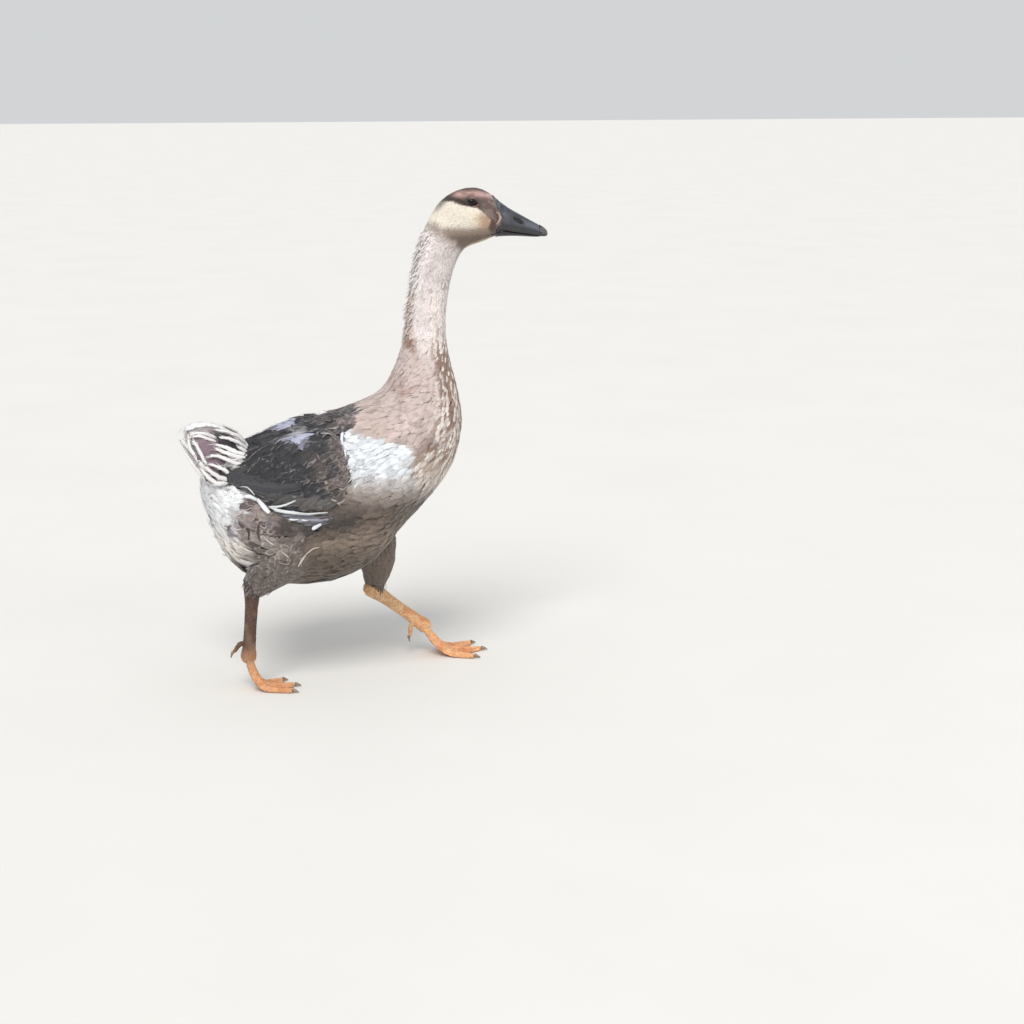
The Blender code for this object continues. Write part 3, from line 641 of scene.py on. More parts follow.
def scatter(mask, seed, closer=1.0):
    """Roots spread evenly over the masked part of the outline, at the local spacing: more are tried than fit,
    and those too close to one already kept are left out."""
    tries = 4.5
    rng = np.random.default_rng(seed)
    gap = spacing * closer
    weight = outer.areas() * np.mean(mask[outer.t], 1) * np.mean(1 / gap[outer.t] ** 2, 1)
    weight[~np.all(mask[outer.t] > 0, axis=1)] = 0
    n = int(weight.sum() * tries)
    tri = rng.choice(len(weight), n, p=weight / weight.sum())
    r = np.sqrt(rng.random(n))
    s = rng.random(n)
    bary = np.stack([1 - r, r * (1 - s), r * s], 1)
    points = sum(outer.v[outer.t[tri, k]] * bary[:, k, None] for k in range(3))
    radius = sum(gap[outer.t[tri, k]] * bary[:, k] for k in range(3))
    tree = KDTree(n)
    for i, p in enumerate(points.tolist()):
        tree.insert(p, i)
    tree.balance()
    alive, kept = bytearray(b"\1") * n, []
    for i, p in enumerate(points.tolist()):
        if alive[i]:
            kept.append(i)
            for _, j, _ in tree.find_range(p, radius[i]):
                alive[j] = 0
    return points[kept], tri[kept]


def trace(points, tri, lengths, stations, level, stand, turn):
    """Each feather's spine from its root along the lie of the coat, rising from the skin to the coat's
    outline, with the place of the part that shows."""
    p, here = points, values_at(points, tri)
    spine, normal, seen = [], [], None
    for k, u in enumerate(stations):
        if k:
            way = here.lie * np.cos(turn)[:, None] + np.cross(here.normal, here.lie) * np.sin(turn)[:, None]
            p, tri = nearest(p + way * (lengths * (u - stations[k - 1]))[:, None])
            here = values_at(p, tri)
        rise = 0.04 + 0.96 * (1 - (1 - u) ** 2.8)
        height = -here.depth * (1 - rise * level) + stand * here.depth * u ** 3
        spine.append(p + here.normal * height[:, None])
        normal.append(here.normal)
        if u <= SHOWS_FROM:
            seen = p, here
    return np.stack(spine, 1), np.stack(normal, 1), seen


def outline(u, blunt, stem=0.4):
    """A feather's half width along its length: a narrow base, widest past the middle and a round end."""
    swell = stem + (1 - stem) * np.sin(math.pi / 2 * np.minimum(u / blunt, 1))
    return swell * np.sqrt(np.clip(1 - (np.maximum(u - blunt, 0) / (1.02 - blunt)) ** 2, 0, 1))


def frame_of(spine, normal):
    tangent = unit(np.gradient(spine, axis=1))
    across = unit(np.cross(normal, tangent))
    return tangent, across, np.cross(tangent, across)


def vanes(spine, normal, widths, stations, thick, camber, section, roll):
    """Closed thin feathers. widths holds each station's half width on both sides of the shaft."""
    n, k, _ = spine.shape
    m = len(section)
    _, across, up = frame_of(spine, normal)
    c, s = np.cos(roll)[:, None, None], np.sin(roll)[:, None, None]
    across, up = across * c + up * s, up * c - across * s
    v, lift = section.T
    width = np.where(v < 0, widths[..., 0:1], widths[..., 1:2])
    rise = lift * thick[:, None, None] - camber[:, None, None] * v ** 2 * width
    rings = spine[:, :, None] + across[:, :, None] * (v * width)[..., None] + up[:, :, None] * rise[..., None]
    verts = np.concatenate([rings[:, :-1].reshape(n, -1, 3), spine[:, -1:]], 1)
    place = np.concatenate([np.stack([np.tile(v, k - 1), np.repeat(stations[:-1], m)], 1), [[0, 1]]])
    last = (k - 2) * m
    tip = np.array([((k - 1) * m, last + (j + 1) % m, last + j) for j in range(m)])
    under = np.tile(np.where(lift < -0.5, -1.0, 1.0), k - 1)[:, None]
    lie = np.concatenate([np.repeat(normal[:, :-1], m, axis=1) * under, normal[:, -1:]], 1)
    faces = [ring_quads(k - 1, m)[:, ::-1], tip, np.arange(m)[None]]
    return verts, np.broadcast_to(place, (n,) + place.shape), faces, lie


def barbs(spine, normal, widths, stations, rng, count, reach, low, spread, lift=0.10):
    """Loose barbs along a feather's edges and tip, each a closed sliver."""
    n, k, _ = spine.shape
    u = low + (1 - low) * rng.random((n, count)) ** 0.7
    sign = np.where(rng.random((n, count)) < 0.5, -1.0, 1.0)
    at = np.interp(u, stations, np.arange(k))
    i = np.minimum(at.astype(int), k - 2)
    t = (at - i)[..., None]
    pick = np.arange(n)[:, None]
    mixed = lambda a: a[pick, i] * (1 - t) + a[pick, i + 1] * t
    tangent, across, top = (mixed(a) for a in frame_of(spine, normal))
    width = mixed(widths)
    width = np.where(sign < 0, width[..., 0], width[..., 1])
    inset = 0.55 + 0.4 * rng.random((n, count))
    root = mixed(spine) + across * (sign * width * inset)[..., None]
    lean = spread * (1.15 - 0.8 * u) * (0.6 + 0.8 * rng.random((n, count)))
    way = tangent * np.cos(lean)[..., None] + across * (sign * np.sin(lean))[..., None]
    way = way + top * (lift * (rng.random((n, count)) - 0.45))[..., None]
    size = (reach[:, None] * (0.55 + 0.75 * rng.random((n, count))))[..., None]
    tip = root + way * size - top * (0.08 * size)
    flat = np.cross(top, way)
    w = 0.035 * size + 0.00012
    verts = np.stack([root - flat * w, root + flat * w, root + top * w * 0.9, tip], 2).reshape(n, -1, 3)
    place = np.stack([np.repeat(sign, 4, axis=1), np.full((n, count * 4), 0.97)], 2)
    sliver = np.array(((0, 2, 1), (0, 1, 3), (1, 2, 3), (2, 0, 3)))
    tris = np.concatenate([sliver + 4 * j for j in range(count)])
    return verts, place, [tris], np.repeat(top, 4, axis=1)


class Coat:
    """Feathers gathered into mesh pieces of under 200,000 triangles."""
    LIMIT = 190000
    PATCH = 0.0014                      # half the width of a feather's own patch of the UV map

    def __init__(self, name, slot, material, soft=0.65):
        self.name, self.slot, self.material, self.soft, self.sets = name, slot, material, soft, []

    def lay(self, feathers, body, fringe, where, colours, fringe_colours=None):
        """Adds vanes with a fringe of barbs. feathers holds spines, normals, half widths and stations, and
        where each feather's place on the UV map and its chance tone."""
        self.sets.append((vanes(*feathers, *body), *where, *colours))
        if fringe:
            self.sets.append((barbs(*feathers, *fringe), *where, *(fringe_colours or colours)))

    def build(self):
        """Makes the pieces, each with as many feathers as it may have triangles for."""
        pieces, room = [], 0
        for (verts, place, faces, lie), *paints in self.sets:
            each = sum(len(f) * (f.shape[1] - 2) for f in faces)
            start = 0
            while start < len(verts):
                if room < each:
                    pieces.append([])
                    room = self.LIMIT
                end = min(start + room // each, len(verts))
                pieces[-1].append((faces, *(q[start:end] for q in (verts, place, lie, *paints))))
                room -= (end - start) * each
                start = end
        numbers = [""] if len(pieces) == 1 else [f"_{k + 1}" for k in range(len(pieces))]
        return [self.piece(self.name + number, parts) for number, parts in zip(numbers, pieces)]

    def piece(self, title, parts):
        faces, columns, base = {}, [], 0
        for shapes, verts, place, lie, uv, chance, tint, rim in parts:
            n, m = verts.shape[:2]
            whole = [np.broadcast_to(q[:, None], (n, m, q.shape[1])) for q in (tint, rim, chance[:, None])]
            patch = np.stack([place[..., 0], place[..., 1] * 2 - 1], 2) * self.PATCH
            columns.append(np.concatenate([verts, lie, *whole[:2], place * (0.5, 1) + (0.5, 0), whole[2],
                                           uv[:, None] + patch], 2).reshape(n * m, -1))
            for f in shapes:
                made = (f[None] + base + m * np.arange(n)[:, None, None]).reshape(-1, f.shape[1])
                faces.setdefault(f.shape[1], []).append(made)
            base += n * m
        verts, lie, tint, rim, vane, uv = np.split(np.concatenate(columns), (3, 6, 9, 12, 15), axis=1)
        faces = [np.concatenate(f) for f in faces.values()]
        colours, uv = {"tint": tint, "rim": rim, "vane": vane}, np.clip(uv, 0.0005, 0.9995)
        piece = make_object(title, verts, faces, colours, uv, lie, self.soft)
        dress(piece, self.material, self.slot)
        return piece


# ---------------------------------------------------------------- materials

class Look:
    """A Principled material built from nodes."""

    def __init__(self, name, roughness, sheen=0.0, coat=0.0, specular=0.5):
        self.material = bpy.data.materials.new(name)
        self.material.use_nodes = True
        self.nodes, self.links = self.material.node_tree.nodes, self.material.node_tree.links
        self.shader = self.nodes["Principled BSDF"]
        for socket, value in (("Roughness", roughness), ("Sheen Weight", sheen), ("Coat Weight", coat),
                              ("Specular IOR Level", specular), ("Coat Roughness", 0.08),
                              ("Sheen Roughness", 0.45)):
            self.put(self.shader.inputs[socket], value)

    def put(self, socket, value):
        if isinstance(value, bpy.types.NodeSocket):
            self.links.new(value, socket)
        elif socket.type == "RGBA":
            socket.default_value = (*value, 1)
        else:
            socket.default_value = value

    def node(self, kind, **inputs):
        made = self.nodes.new(kind)
        for name, value in inputs.items():
            self.put(made.inputs[name.replace("_", " ")], value)
        return made

    def attribute(self, name):
        made = self.nodes.new("ShaderNodeAttribute")
        made.attribute_name = name
        return made.outputs["Color"]

    def math(self, operation, *values):
        made = self.nodes.new("ShaderNodeMath")
        made.operation = operation
        for socket, value in zip(made.inputs, values):
            self.put(socket, value)
        return made.outputs[0]

    def product(self, *values):
        """All the values multiplied."""
        whole = values[0]
        for value in values[1:]:
            whole = self.math("MULTIPLY", whole, value)
        return whole

    def ramp(self, value, low, high, to_low=0.0, to_high=1.0):
        made = self.nodes.new("ShaderNodeMapRange")
        made.interpolation_type = "SMOOTHSTEP"
        for socket, given in zip(made.inputs, (value, low, high, to_low, to_high)):
            self.put(socket, given)
        return made.outputs[0]

    def mix(self, share, a, b, how="MIX"):
        made = self.nodes.new("ShaderNodeMix")
        made.data_type, made.blend_type = "RGBA", how
        for index, value in ((0, share), (6, a), (7, b)):
            self.put(made.inputs[index], value)
        return made.outputs[2]

    def texture(self, kind, **inputs):
        place = self.nodes.new("ShaderNodeTexCoord").outputs["Object"]
        return self.node(kind, Vector=place, **inputs)

    def noise(self, scale, detail=3.0, rough=0.55):
        return self.texture("ShaderNodeTexNoise", Scale=scale, Detail=detail, Roughness=rough).outputs[0]

    def blotches(self, scale, detail, low, high):
        """Smooth noise between two tones."""
        return self.ramp(self.noise(scale, detail), 0.3, 0.7, low, high)

    def scales(self, scale):
        """Distance to the edge of scattered cells."""
        made = self.texture("ShaderNodeTexVoronoi", Scale=scale)
        made.feature = "DISTANCE_TO_EDGE"
        return made.outputs[0]

    def toned(self, tone, colour=None):
        """The piece's own colour, or a given one, times a tone."""
        grey = self.node("ShaderNodeCombineColor", Red=tone, Green=tone, Blue=tone).outputs[0]
        return self.mix(1.0, self.attribute("tint") if colour is None else colour, grey, "MULTIPLY")

    def bump(self, height, distance, strength, before=None):
        made = self.node("ShaderNodeBump", Height=height, Distance=distance, Strength=strength)
        if before is not None:
            self.links.new(before, made.inputs["Normal"])
        return made.outputs[0]

    def finish(self, colour, normal=None, roughness=None):
        for name, value in (("Base Color", colour), ("Normal", normal), ("Roughness", roughness)):
            if value is not None:
                self.links.new(value, self.shader.inputs[name])
        return self.material


def plumage_look(name, roughness, barb, edge, shaft, sheen, contrast=1.0, one_edge=False):
    """Feather vanes: a paler or darker rim, slanting barbs, a shaft line and small changes of tone."""
    look = Look(name, roughness, sheen, specular=0.35)
    vane = look.node("ShaderNodeSeparateColor", Color=look.attribute("vane"))
    across, along, chance = vane.outputs[:3]
    signed = look.math("MULTIPLY_ADD", across, 2.0, -1.0)
    out = look.math("ABSOLUTE", signed)
    slant = look.math("MULTIPLY_ADD", out, -0.22, along)
    ripple = look.math("MULTIPLY_ADD", look.noise(260, 2), 5.0, look.math("MULTIPLY", slant, barb))
    ripple = look.math("SINE", ripple)
    fine = look.noise(900, 2)
    border = look.math("MULTIPLY_ADD", fine, 0.22, look.math("SUBTRACT", signed if one_edge else out, 0.11))
    if not one_edge:
        border = look.math("MAXIMUM", border, along)
    at_rim = look.ramp(border, edge, min(edge + 0.10, 1.0))
    colour = look.mix(at_rim, look.attribute("tint"), look.attribute("rim"))
    # each vane darker towards its root: painted shade under the feathers that overlap it
    tone = look.product(look.math("MULTIPLY_ADD", ripple, 0.055 * contrast,
                                  look.ramp(along, 0.1, 0.8, 1 - 0.14 * contrast, 1.0)),
                        look.math("MULTIPLY_ADD", chance, 0.16 * contrast, 0.92),
                        look.blotches(55, 4, 0.93, 1.05), look.ramp(out, 0.03, 0.09, shaft, 1.0))
    normal = look.bump(fine, 0.0002, 0.3, look.bump(ripple, 0.00018, 0.5))
    return look.finish(look.toned(tone, colour), normal)


COAT_LOOK = plumage_look("feathers_of_the_body", 0.82, 90, 0.86, 0.98, 0.3, 0.55)
FACE_LOOK = plumage_look("feathers_of_the_face", 0.78, 60, 0.9, 1.0, 0.3, 0.2)
FLIGHT_LOOK = plumage_look("feathers_of_wing_and_tail", 0.58, 150, 0.66, 0.80, 0.12, one_edge=True)

look = Look("skin_and_down", 0.62, 0.15)
down = look.toned(look.blotches(420, 4, 0.72, 0.98))
SKIN_LOOK = look.finish(down, look.bump(look.noise(900, 4), 0.0003, 0.6))

look = Look("slate_bill", 0.40, coat=0.12)
mottle = look.ramp(look.noise(330, 5, 0.65), 0.28, 0.72, 0.80, 1.16)
BILL_LOOK = look.finish(look.toned(mottle), look.bump(look.noise(700, 4), 0.00022, 0.55),
                        look.ramp(look.noise(1400, 3), 0.35, 0.75, 0.34, 0.52))

look = Look("scaly_orange_leg", 0.5, coat=0.05)
scales = look.scales(520)
blotch = look.product(look.ramp(scales, 0.02, 0.16, 0.80, 1.0), look.blotches(160, 4, 0.86, 1.10))
grooves = look.bump(look.ramp(scales, 0.0, 0.2), 0.0004, 0.7)
LEG_LOOK = look.finish(look.toned(blotch), look.bump(look.noise(1500, 3), 0.0002, 0.4, grooves))

look = Look("worn_claw_horn", 0.42, coat=0.1)
grain = look.noise(380, 5, 0.7)
horn = look.mix(look.ramp(grain, 0.3, 0.72), rgb(92, 78, 66), rgb(176, 154, 132))
CLAW_LOOK = look.finish(horn, look.bump(grain, 0.0003, 0.5))

look = Look("wet_eye", 0.04, coat=0.06, specular=0.22)
EYE_LOOK = look.finish(look.toned(look.blotches(1100, 3, 0.75, 1.25)))


# ---------------------------------------------------------------- the coat

def on_rows(first, last):
    """A map of the body: round it one way, and along it between two rows the other way."""
    def chart(points, here):
        along = np.clip((here.row - first) / (last - first), 0, 1)
        return np.stack([0.5 + 0.485 * np.sign(points[:, 1]) * here.angle / math.pi, 0.01 + 0.98 * along], 1)
    return chart


def on_wing(points, here=None):
    """A map of a wing's flat side."""
    low, high = np.array((-0.235, 0.25)), np.array((-0.03, 0.39))
    return (points[:, (0, 2)] - low) / (high - low) * 0.98 + 0.01


def on_thigh(foot, hip):
    """A map round and along a thigh."""
    def chart(points, here):
        axis = hip - foot
        along = np.clip(np.sum((points - foot) * axis, 1) / np.dot(axis, axis), 0, 1)
        rel = points - (foot + along[:, None] * axis)
        return np.stack([0.5 + 0.49 * np.arctan2(rel[:, 1], rel[:, 0]) / math.pi, 0.01 + 0.98 * along], 1)
    return chart


def grow(coat, mask, seed, form, chart, closer=1.0, long=1.0, wide=1.0, stand=0.0, loose=0, ragged=0.1,
         camber=0.14, blunt=0.6, messy=0.10, spread=0.6, barb_reach=0.22, repaint=None, furrow=0.0,
         nape_stand=0.0, rear_stand=0.0):
    """Covers the masked part of the body with feathers. closer, long and wide change the local spacing and
    size, stand lifts the tips, ragged and messy vary the widths and the lie, and loose is the number of
    barbs. repaint changes each feather's colours. furrow sinks feathers into the trunk's ripples, and
    nape_stand and rear_stand lift more of the tips there."""
    points, tri = scatter(mask.astype(float), seed, closer)
    rng = np.random.default_rng(seed + 1)
    n, u, section = len(points), np.array(form[0]), form[1]
    here = values_at(points, tri)
    lengths = here.length * long * (0.82 + 0.36 * rng.random(n))
    halves = here.half * wide * (0.85 + 0.3 * rng.random(n))
    level = 0.96 + 0.04 * rng.random(n) - furrow * ripples(points, here.row, here.angle)
    more = 1 + nape_stand * step(here.angle, 0.9, 0.4) * step(points[:, 2], 0.49, 0.54)
    more = more + rear_stand * step(points[:, 0], -0.185, -0.215)
    stands = stand * rng.random(n) ** 2 * more
    spine, normal, (shown, there) = trace(points, tri, lengths, u, level, stands, rng.normal(0, messy, n))
    uneven = 1 - ragged * rng.random((n, len(u), 2))
    widths = halves[:, None, None] * outline(u, blunt)[None, :, None] * uneven
    thick = np.clip(halves * 0.08, 0.00005, 0.0005)
    body = (thick, camber * (0.7 + 0.6 * rng.random(n)), section, rng.normal(0, 0.05, n))
    tint, rim = paint(shown, there)
    if repaint:
        tint, rim = repaint(tint, rim, rng)
    tone = 0.94 + 0.12 * rng.random((n, 1))
    tint, rim = tint * tone, rim * tone
    where = chart(points, here), rng.random(n)
    fringe = (rng, loose, lengths * barb_reach, 0.35, spread) if loose else None
    coat.lay((spine, normal, widths, u), body, fringe, where, (tint, rim), (tint, blend(tint, rim, 0.7)))


def hem(coat, mask, seed, foot, hip):
    """Loose tufts round a thigh's end, which hang free over the shank."""
    points, tri = scatter(mask.astype(float), seed, 1.5)
    rng = np.random.default_rng(seed)
    n, u, section = len(points), np.array(SMALL[0]), SMALL[1]
    here = values_at(points, tri)
    lengths = (8 + 7 * rng.random(n)) * MM
    axis = unit(foot - hip)
    out = unit(points - hip - axis * np.sum((points - hip) * axis, 1, keepdims=True))
    way = unit(axis + rng.normal(0, 0.10, (n, 3)) - 0.12 * out)
    tuck = (here.depth * 0.3 + 0.8 * MM * rng.random(n))[:, None] * (0.8 + 0.9 * u ** 2)
    spine = points[:, None] + way[:, None] * (lengths[:, None] * u)[..., None]
    spine = spine - out[:, None] * tuck[..., None]
    normal = np.broadcast_to(out[:, None], spine.shape)
    halves = (1.1 + 0.7 * rng.random(n)) * MM
    width = halves[:, None, None] * outline(u, 0.4)[None, :, None] * (1 - 0.3 * rng.random((n, len(u), 2)))
    # the tufts are painted up to 35 percent lighter: painted light against the shade of the thigh above them
    tone = 1.0 + 0.35 * rng.random((n, 1))
    where = on_thigh(foot, hip)(points, here), rng.random(n)
    body = (np.full(n, 0.15 * MM), np.full(n, 0.1), section, rng.normal(0, 0.2, n))
    coat.lay((spine, normal, width, u), body, (rng, 8, lengths * 0.3, 0.35, 0.4), where,
             [colour * tone for colour in paint(points, here)])


def cover(name, slot, look, mask, seed, form, chart, **style):
    """A coat of its own over the masked part of the body."""
    coat = Coat(name, slot, look)
    grow(coat, mask, seed, form, chart, **style)
    coat.build()


def streaked(tint, rim, rng):
    """Gives each feather of the shoulder a tone of its own, so that the white breaks into streaks."""
    tone = 0.80 + 0.20 * rng.random((len(tint), 1)) ** 0.6
    return tint * tone * (1, 1.005, 1.015), rim * (0.5 + 0.5 * tone)


def edged(tint, rim, rng):
    """Gives some dark feathers a pale edge and some a darker web."""
    n = len(tint)
    dark = (tint.mean(1) < 0.2).astype(float)
    tint = blend(tint, tint * (0.66, 0.66, 0.70), dark * rng.random(n))
    return tint, blend(rim, rgb(176, 168, 168), dark * (rng.random(n) < 0.25) * 0.85)


def pale(*colour):
    """Paints a whole feather in one pale colour, darker where the plumage under it is dark."""
    return lambda tint, rim, rng: (blend(tint, rgb(*colour), 0.45 + 0.5 * rng.random(len(tint))),) * 2


def rows_between(low, high):
    return (row >= low) & (row < high)


off_limbs = (is_wing < 0.5) & (is_thigh < 0.5)
feathered = (X < along_edge(BILL_BASE, Z)) | (Z < 600)
mantle = (X < along_edge(BACK_FRONT, Z)) & (Z > 355) & (row < 10)
on_shoulder = (np.abs(X + 10) < 54) & (np.abs(Z + 0.27 * X - 330) < 36) & (np.abs(Y) > 34) & (row < 11.3)
back = mantle & (row < 9.5)
FACE_STYLE = dict(camber=0.1, blunt=0.4, messy=0.16)
LOOSE_STYLE = dict(camber=0.05, blunt=0.35, barb_reach=0.3)
BODY_STYLE = dict(camber=0.05, furrow=0.22, wide=1.2, blunt=0.5)
FLIGHT_STYLE = dict(closer=1.3, wide=1.75, loose=10, stand=0.4, ragged=0.15, messy=0.28, camber=0.3,
                    spread=0.4, blunt=0.5, repaint=edged)

cover("feathers_face", "plumage_buff", FACE_LOOK, rows_between(20.2, 99) & feathered & (eye_out > 1.32), 101,
      FINE, on_rows(20, 24), stand=0.15, **FACE_STYLE)
cover("feathers_head", "plumage_buff", FACE_LOOK, rows_between(17.8, 20.2) & (eye_out > 1.32), 102, FINE,
      on_rows(17.5, 20.5), stand=0.2, **FACE_STYLE)
cover("feathers_neck", "plumage_grey", COAT_LOOK, rows_between(11.3, 17.8) & off_limbs, 103, SMALL,
      on_rows(11, 18), loose=9, stand=0.16, ragged=0.25, messy=0.12, spread=0.45, furrow=0.16,
      nape_stand=13.0, camber=0.08, wide=1.15, barb_reach=0.15)
cover("feathers_breast", "plumage_grey", COAT_LOOK, rows_between(6.2, 11.3) & off_limbs & ~back, 104, SMALL,
      on_rows(6, 11.5), loose=10, stand=0.05, ragged=0.2, messy=0.12, spread=0.4, **BODY_STYLE)
cover("feathers_trunk", "plumage_white", COAT_LOOK, (row < 6.2) & off_limbs & ~mantle, 105, SMALL,
      on_rows(0, 6.4), loose=16, stand=0.08, ragged=0.25, messy=0.18, spread=0.5, rear_stand=6.0,
      **BODY_STYLE)


def side_path(points, sign, stations, lift):
    """A spine over the side of the body through x, z points in mm, lifted from the outline."""
    x, z = (np.interp(stations, np.linspace(0, 1, len(points)), column) * MM for column in zip(*points))
    spine, normal = [], []
    for px, pz, up in zip(x, z, lift):
        hit, facing, _, _ = OUTER_TREE.ray_cast(Vector((px, 0.3 * sign, pz)), Vector((0, -sign, 0)))
        if hit is None:
            hit, facing, _, _ = OUTER_TREE.find_nearest(Vector((px, 0.06 * sign, pz)))
            hit = Vector((px, hit.y, pz))
        facing = np.array(Vector((facing.x * 0.4, facing.y, facing.z * 0.4)).normalized())
        spine.append(np.array(hit) + facing * up)
        normal.append(facing)
    return np.array(spine), np.array(normal)


def quill(coat, rows, sign, tint, rim, seed, blunt=0.7, stem=0.55, loose=6, stations=LONG[0]):
    """Long feathers from rows of points, half widths and heights off the body at root and tip, in mm."""
    rng = np.random.default_rng(seed)
    n, u, made = len(rows), np.array(stations), []
    for points, half_width, low, high in rows:
        path = side_path(points, sign, u, (low + (high - low) * u) * MM)
        shape = (half_width * MM * outline(u, blunt, stem))[:, None]
        made.append((*path, shape * (1 - 0.08 * rng.random((len(u), 2)))))
    spine, normal, width = (np.array(q) for q in zip(*made))
    body = (np.full(n, 0.5 * MM), np.full(n, 0.22), LONG[1], rng.normal(0, 0.05, n))
    where = on_wing(spine[:, 0]), rng.random(n)
    reach = np.linalg.norm(spine[:, -1] - spine[:, 0], axis=1) * 0.09
    colours = [np.broadcast_to(colour, (n, 3)) for colour in (tint, rim)]
    coat.lay((spine, normal, width, u), body, (rng, loose, reach, 0.2, 0.45, 0.04), where, colours)


# the long loose feathers of the white shoulder, which fall over the wing's front edge: x and z along each in
# mm, half width and the tip's height
SHOULDER_PLUMES = (
    (((-26, 381), (-40, 376), (-49, 365), (-52, 352)), 2.6, 1.6),
    (((-20, 374), (-36, 367), (-47, 353), (-50, 339)), 2.6, 1.8),
    (((-12, 365), (-29, 353), (-43, 339), (-46, 327)), 2.8, 1.6),
    (((-6, 352), (-24, 341), (-40, 327), (-44, 317)), 2.8, 1.8),
    (((2, 344), (-16, 329), (-34, 316), (-43, 307)), 2.6, 1.4),
    (((6, 331), (-12, 317), (-32, 304), (-40, 298)), 2.2, 1.2),
)
coat = Coat("feathers_shoulder", "plumage_white", COAT_LOOK)
grow(coat, on_shoulder, 111, LONG, on_rows(6, 11.5), closer=1.45, long=0.95, wide=0.9, loose=16, stand=0.45,
     ragged=0.3, messy=0.2, camber=0.12, spread=0.32, blunt=0.4, barb_reach=0.26, repaint=streaked)
for _, sign in SIDES:
    rows = [(path, half_width, -3.5, high) for path, half_width, high in SHOULDER_PLUMES]
    # the lower plumes are painted darker: painted shade lower down on the shoulder
    tone = rgb(234, 239, 245) * np.linspace(1, 0.84, len(rows))[:, None]
    quill(coat, rows, sign, tone, rgb(240, 243, 246), 360 + sign, blunt=0.5, stem=0.35, loose=18)
coat.build()

cover("feathers_back", "plumage_dark", FLIGHT_LOOK, back & off_limbs, 108, LONG, on_rows(0, 10), long=1.1,
      **FLIGHT_STYLE)
# each thigh's hip and foot, the lowest height in mm of its coat, and the hem's lowest and highest
THIGHS = {1: ((-0.01, 0.06, 0.25), (0.018, 0.053, 0.10), 104, 103, 122),
          -1: ((-0.09, -0.06, 0.25), (-0.18, -0.053, 0.14), 146, 145, 168)}
for side_name, sign in SIDES:
    near = Y * sign > 0
    hip, foot, coat_low, hem_low, hem_high = (np.array(q) for q in THIGHS[sign])
    coat = Coat(f"feathers_thigh_{side_name}", "plumage_grey", COAT_LOOK)
    grow(coat, near & (is_thigh >= 0.3) & (Z > coat_low), 106 + sign, SMALL, on_thigh(foot, hip), loose=8,
         stand=0.2, ragged=0.3, messy=0.2, spread=0.45, camber=0.06, wide=1.2, barb_reach=0.18)
    hem(coat, near & (is_thigh >= 0.5) & (Z > hem_low) & (Z < hem_high), 130 + sign, foot, hip)
    coat.build()
    cover(f"feathers_wing_{side_name}", "plumage_dark", FLIGHT_LOOK, near & (is_wing >= 0.5), 109 + sign,
          LONG, on_wing, long=0.95, **FLIGHT_STYLE)

# loose pale feather edges that curl out of the dark wings, the flanks and the thighs
low_flank = (X < -120) & (row < 6) & (Z > 180) & (Z < 295)
for side_name, sign in SIDES:
    near = Y * sign > 0
    coat = Coat(f"feathers_loose_{side_name}", "plumage_grey", COAT_LOOK, 0)
    grow(coat, near & ((is_wing >= 0.5) | (mantle & (Z < 400))), 120 + sign, SMALL, on_wing, closer=2.5,
         long=0.5, wide=0.36, stand=0.7, messy=0.7, loose=7, spread=0.3, repaint=pale(132, 124, 126),
         **LOOSE_STYLE)
    grow(coat, near & (is_wing < 0.5) & ((is_thigh >= 0.5) & (Z > 190) | low_flank), 124 + sign, SMALL,
         on_wing, closer=2.4, long=0.4, wide=0.5, stand=0.5, messy=0.9, loose=6, spread=0.5,
         repaint=pale(164, 154, 150), **LOOSE_STYLE)
    coat.build()

tint, _ = paint(skin.v, SimpleNamespace(row=row, angle=angle, wing=is_wing, thigh=is_thigh))
tint = blend(tint, rgb(58, 52, 52), ~feathered)
dress(make_object("skin", skin.v, [skin.t], {"tint": tint}), SKIN_LOOK, "plumage_grey", *FLESH)


# ---------------------------------------------------------------- wing and tail quills

# small curled feathers of the right side: x and z along each, half width in mm and colour
CURLS = (
    (((-108, 206), (-113, 200), (-120, 188)), 1.7, (206, 194, 184)),
    (((-89, 215), (-99, 214), (-110, 206)), 1.4, (200, 186, 172)),
    (((-60, 273), (-65, 281), (-74, 286)), 1.3, (206, 194, 188)),
    (((-52, 283), (-58, 278), (-66, 277)), 1.0, (196, 182, 176)),
    (((-48, 302), (-56, 297), (-63, 300)), 1.1, (186, 172, 168)),
    (((-196, 277), (-190, 273), (-192, 265), (-200, 260), (-204, 256)), 1.0, (215, 198, 193)),
    (((-194, 258), (-200, 259), (-203, 251), (-205, 243), (-199, 240), (-192, 243)), 1.1, (226, 220, 218)),
    (((-170, 248), (-163, 244), (-161, 248)), 1.0, (196, 180, 175)),
    (((-165, 232), (-159, 225), (-150, 220)), 1.2, (200, 190, 186)),
    (((-144, 213), (-137, 207), (-132, 203)), 1.3, (198, 184, 180)),
    (((-148, 202), (-144, 195), (-135, 192), (-130, 198), (-133, 205)), 0.9, (170, 156, 152)),
    (((-167, 209), (-159, 205), (-151, 207)), 1.0, (162, 150, 146)),
    (((-180, 270), (-174, 266), (-177, 257), (-181, 253)), 1.0, (180, 163, 160)),
    (((-170, 268), (-167, 258), (-164, 252)), 0.9, (172, 157, 154)),
    (((-171, 250), (-173, 239), (-170, 226)), 1.7, (84, 73, 72)),
    (((-185, 227), (-184, 238), (-188, 244)), 1.5, (72, 62, 64)),
    (((-209, 234), (-211, 241), (-206, 246)), 1.4, (124, 110, 116)),
    (((-150, 240), (-156, 236), (-161, 238)), 0.9, (176, 164, 160)),
    (((-128, 214), (-133, 219), (-141, 221)), 0.9, (164, 153, 148)),
)
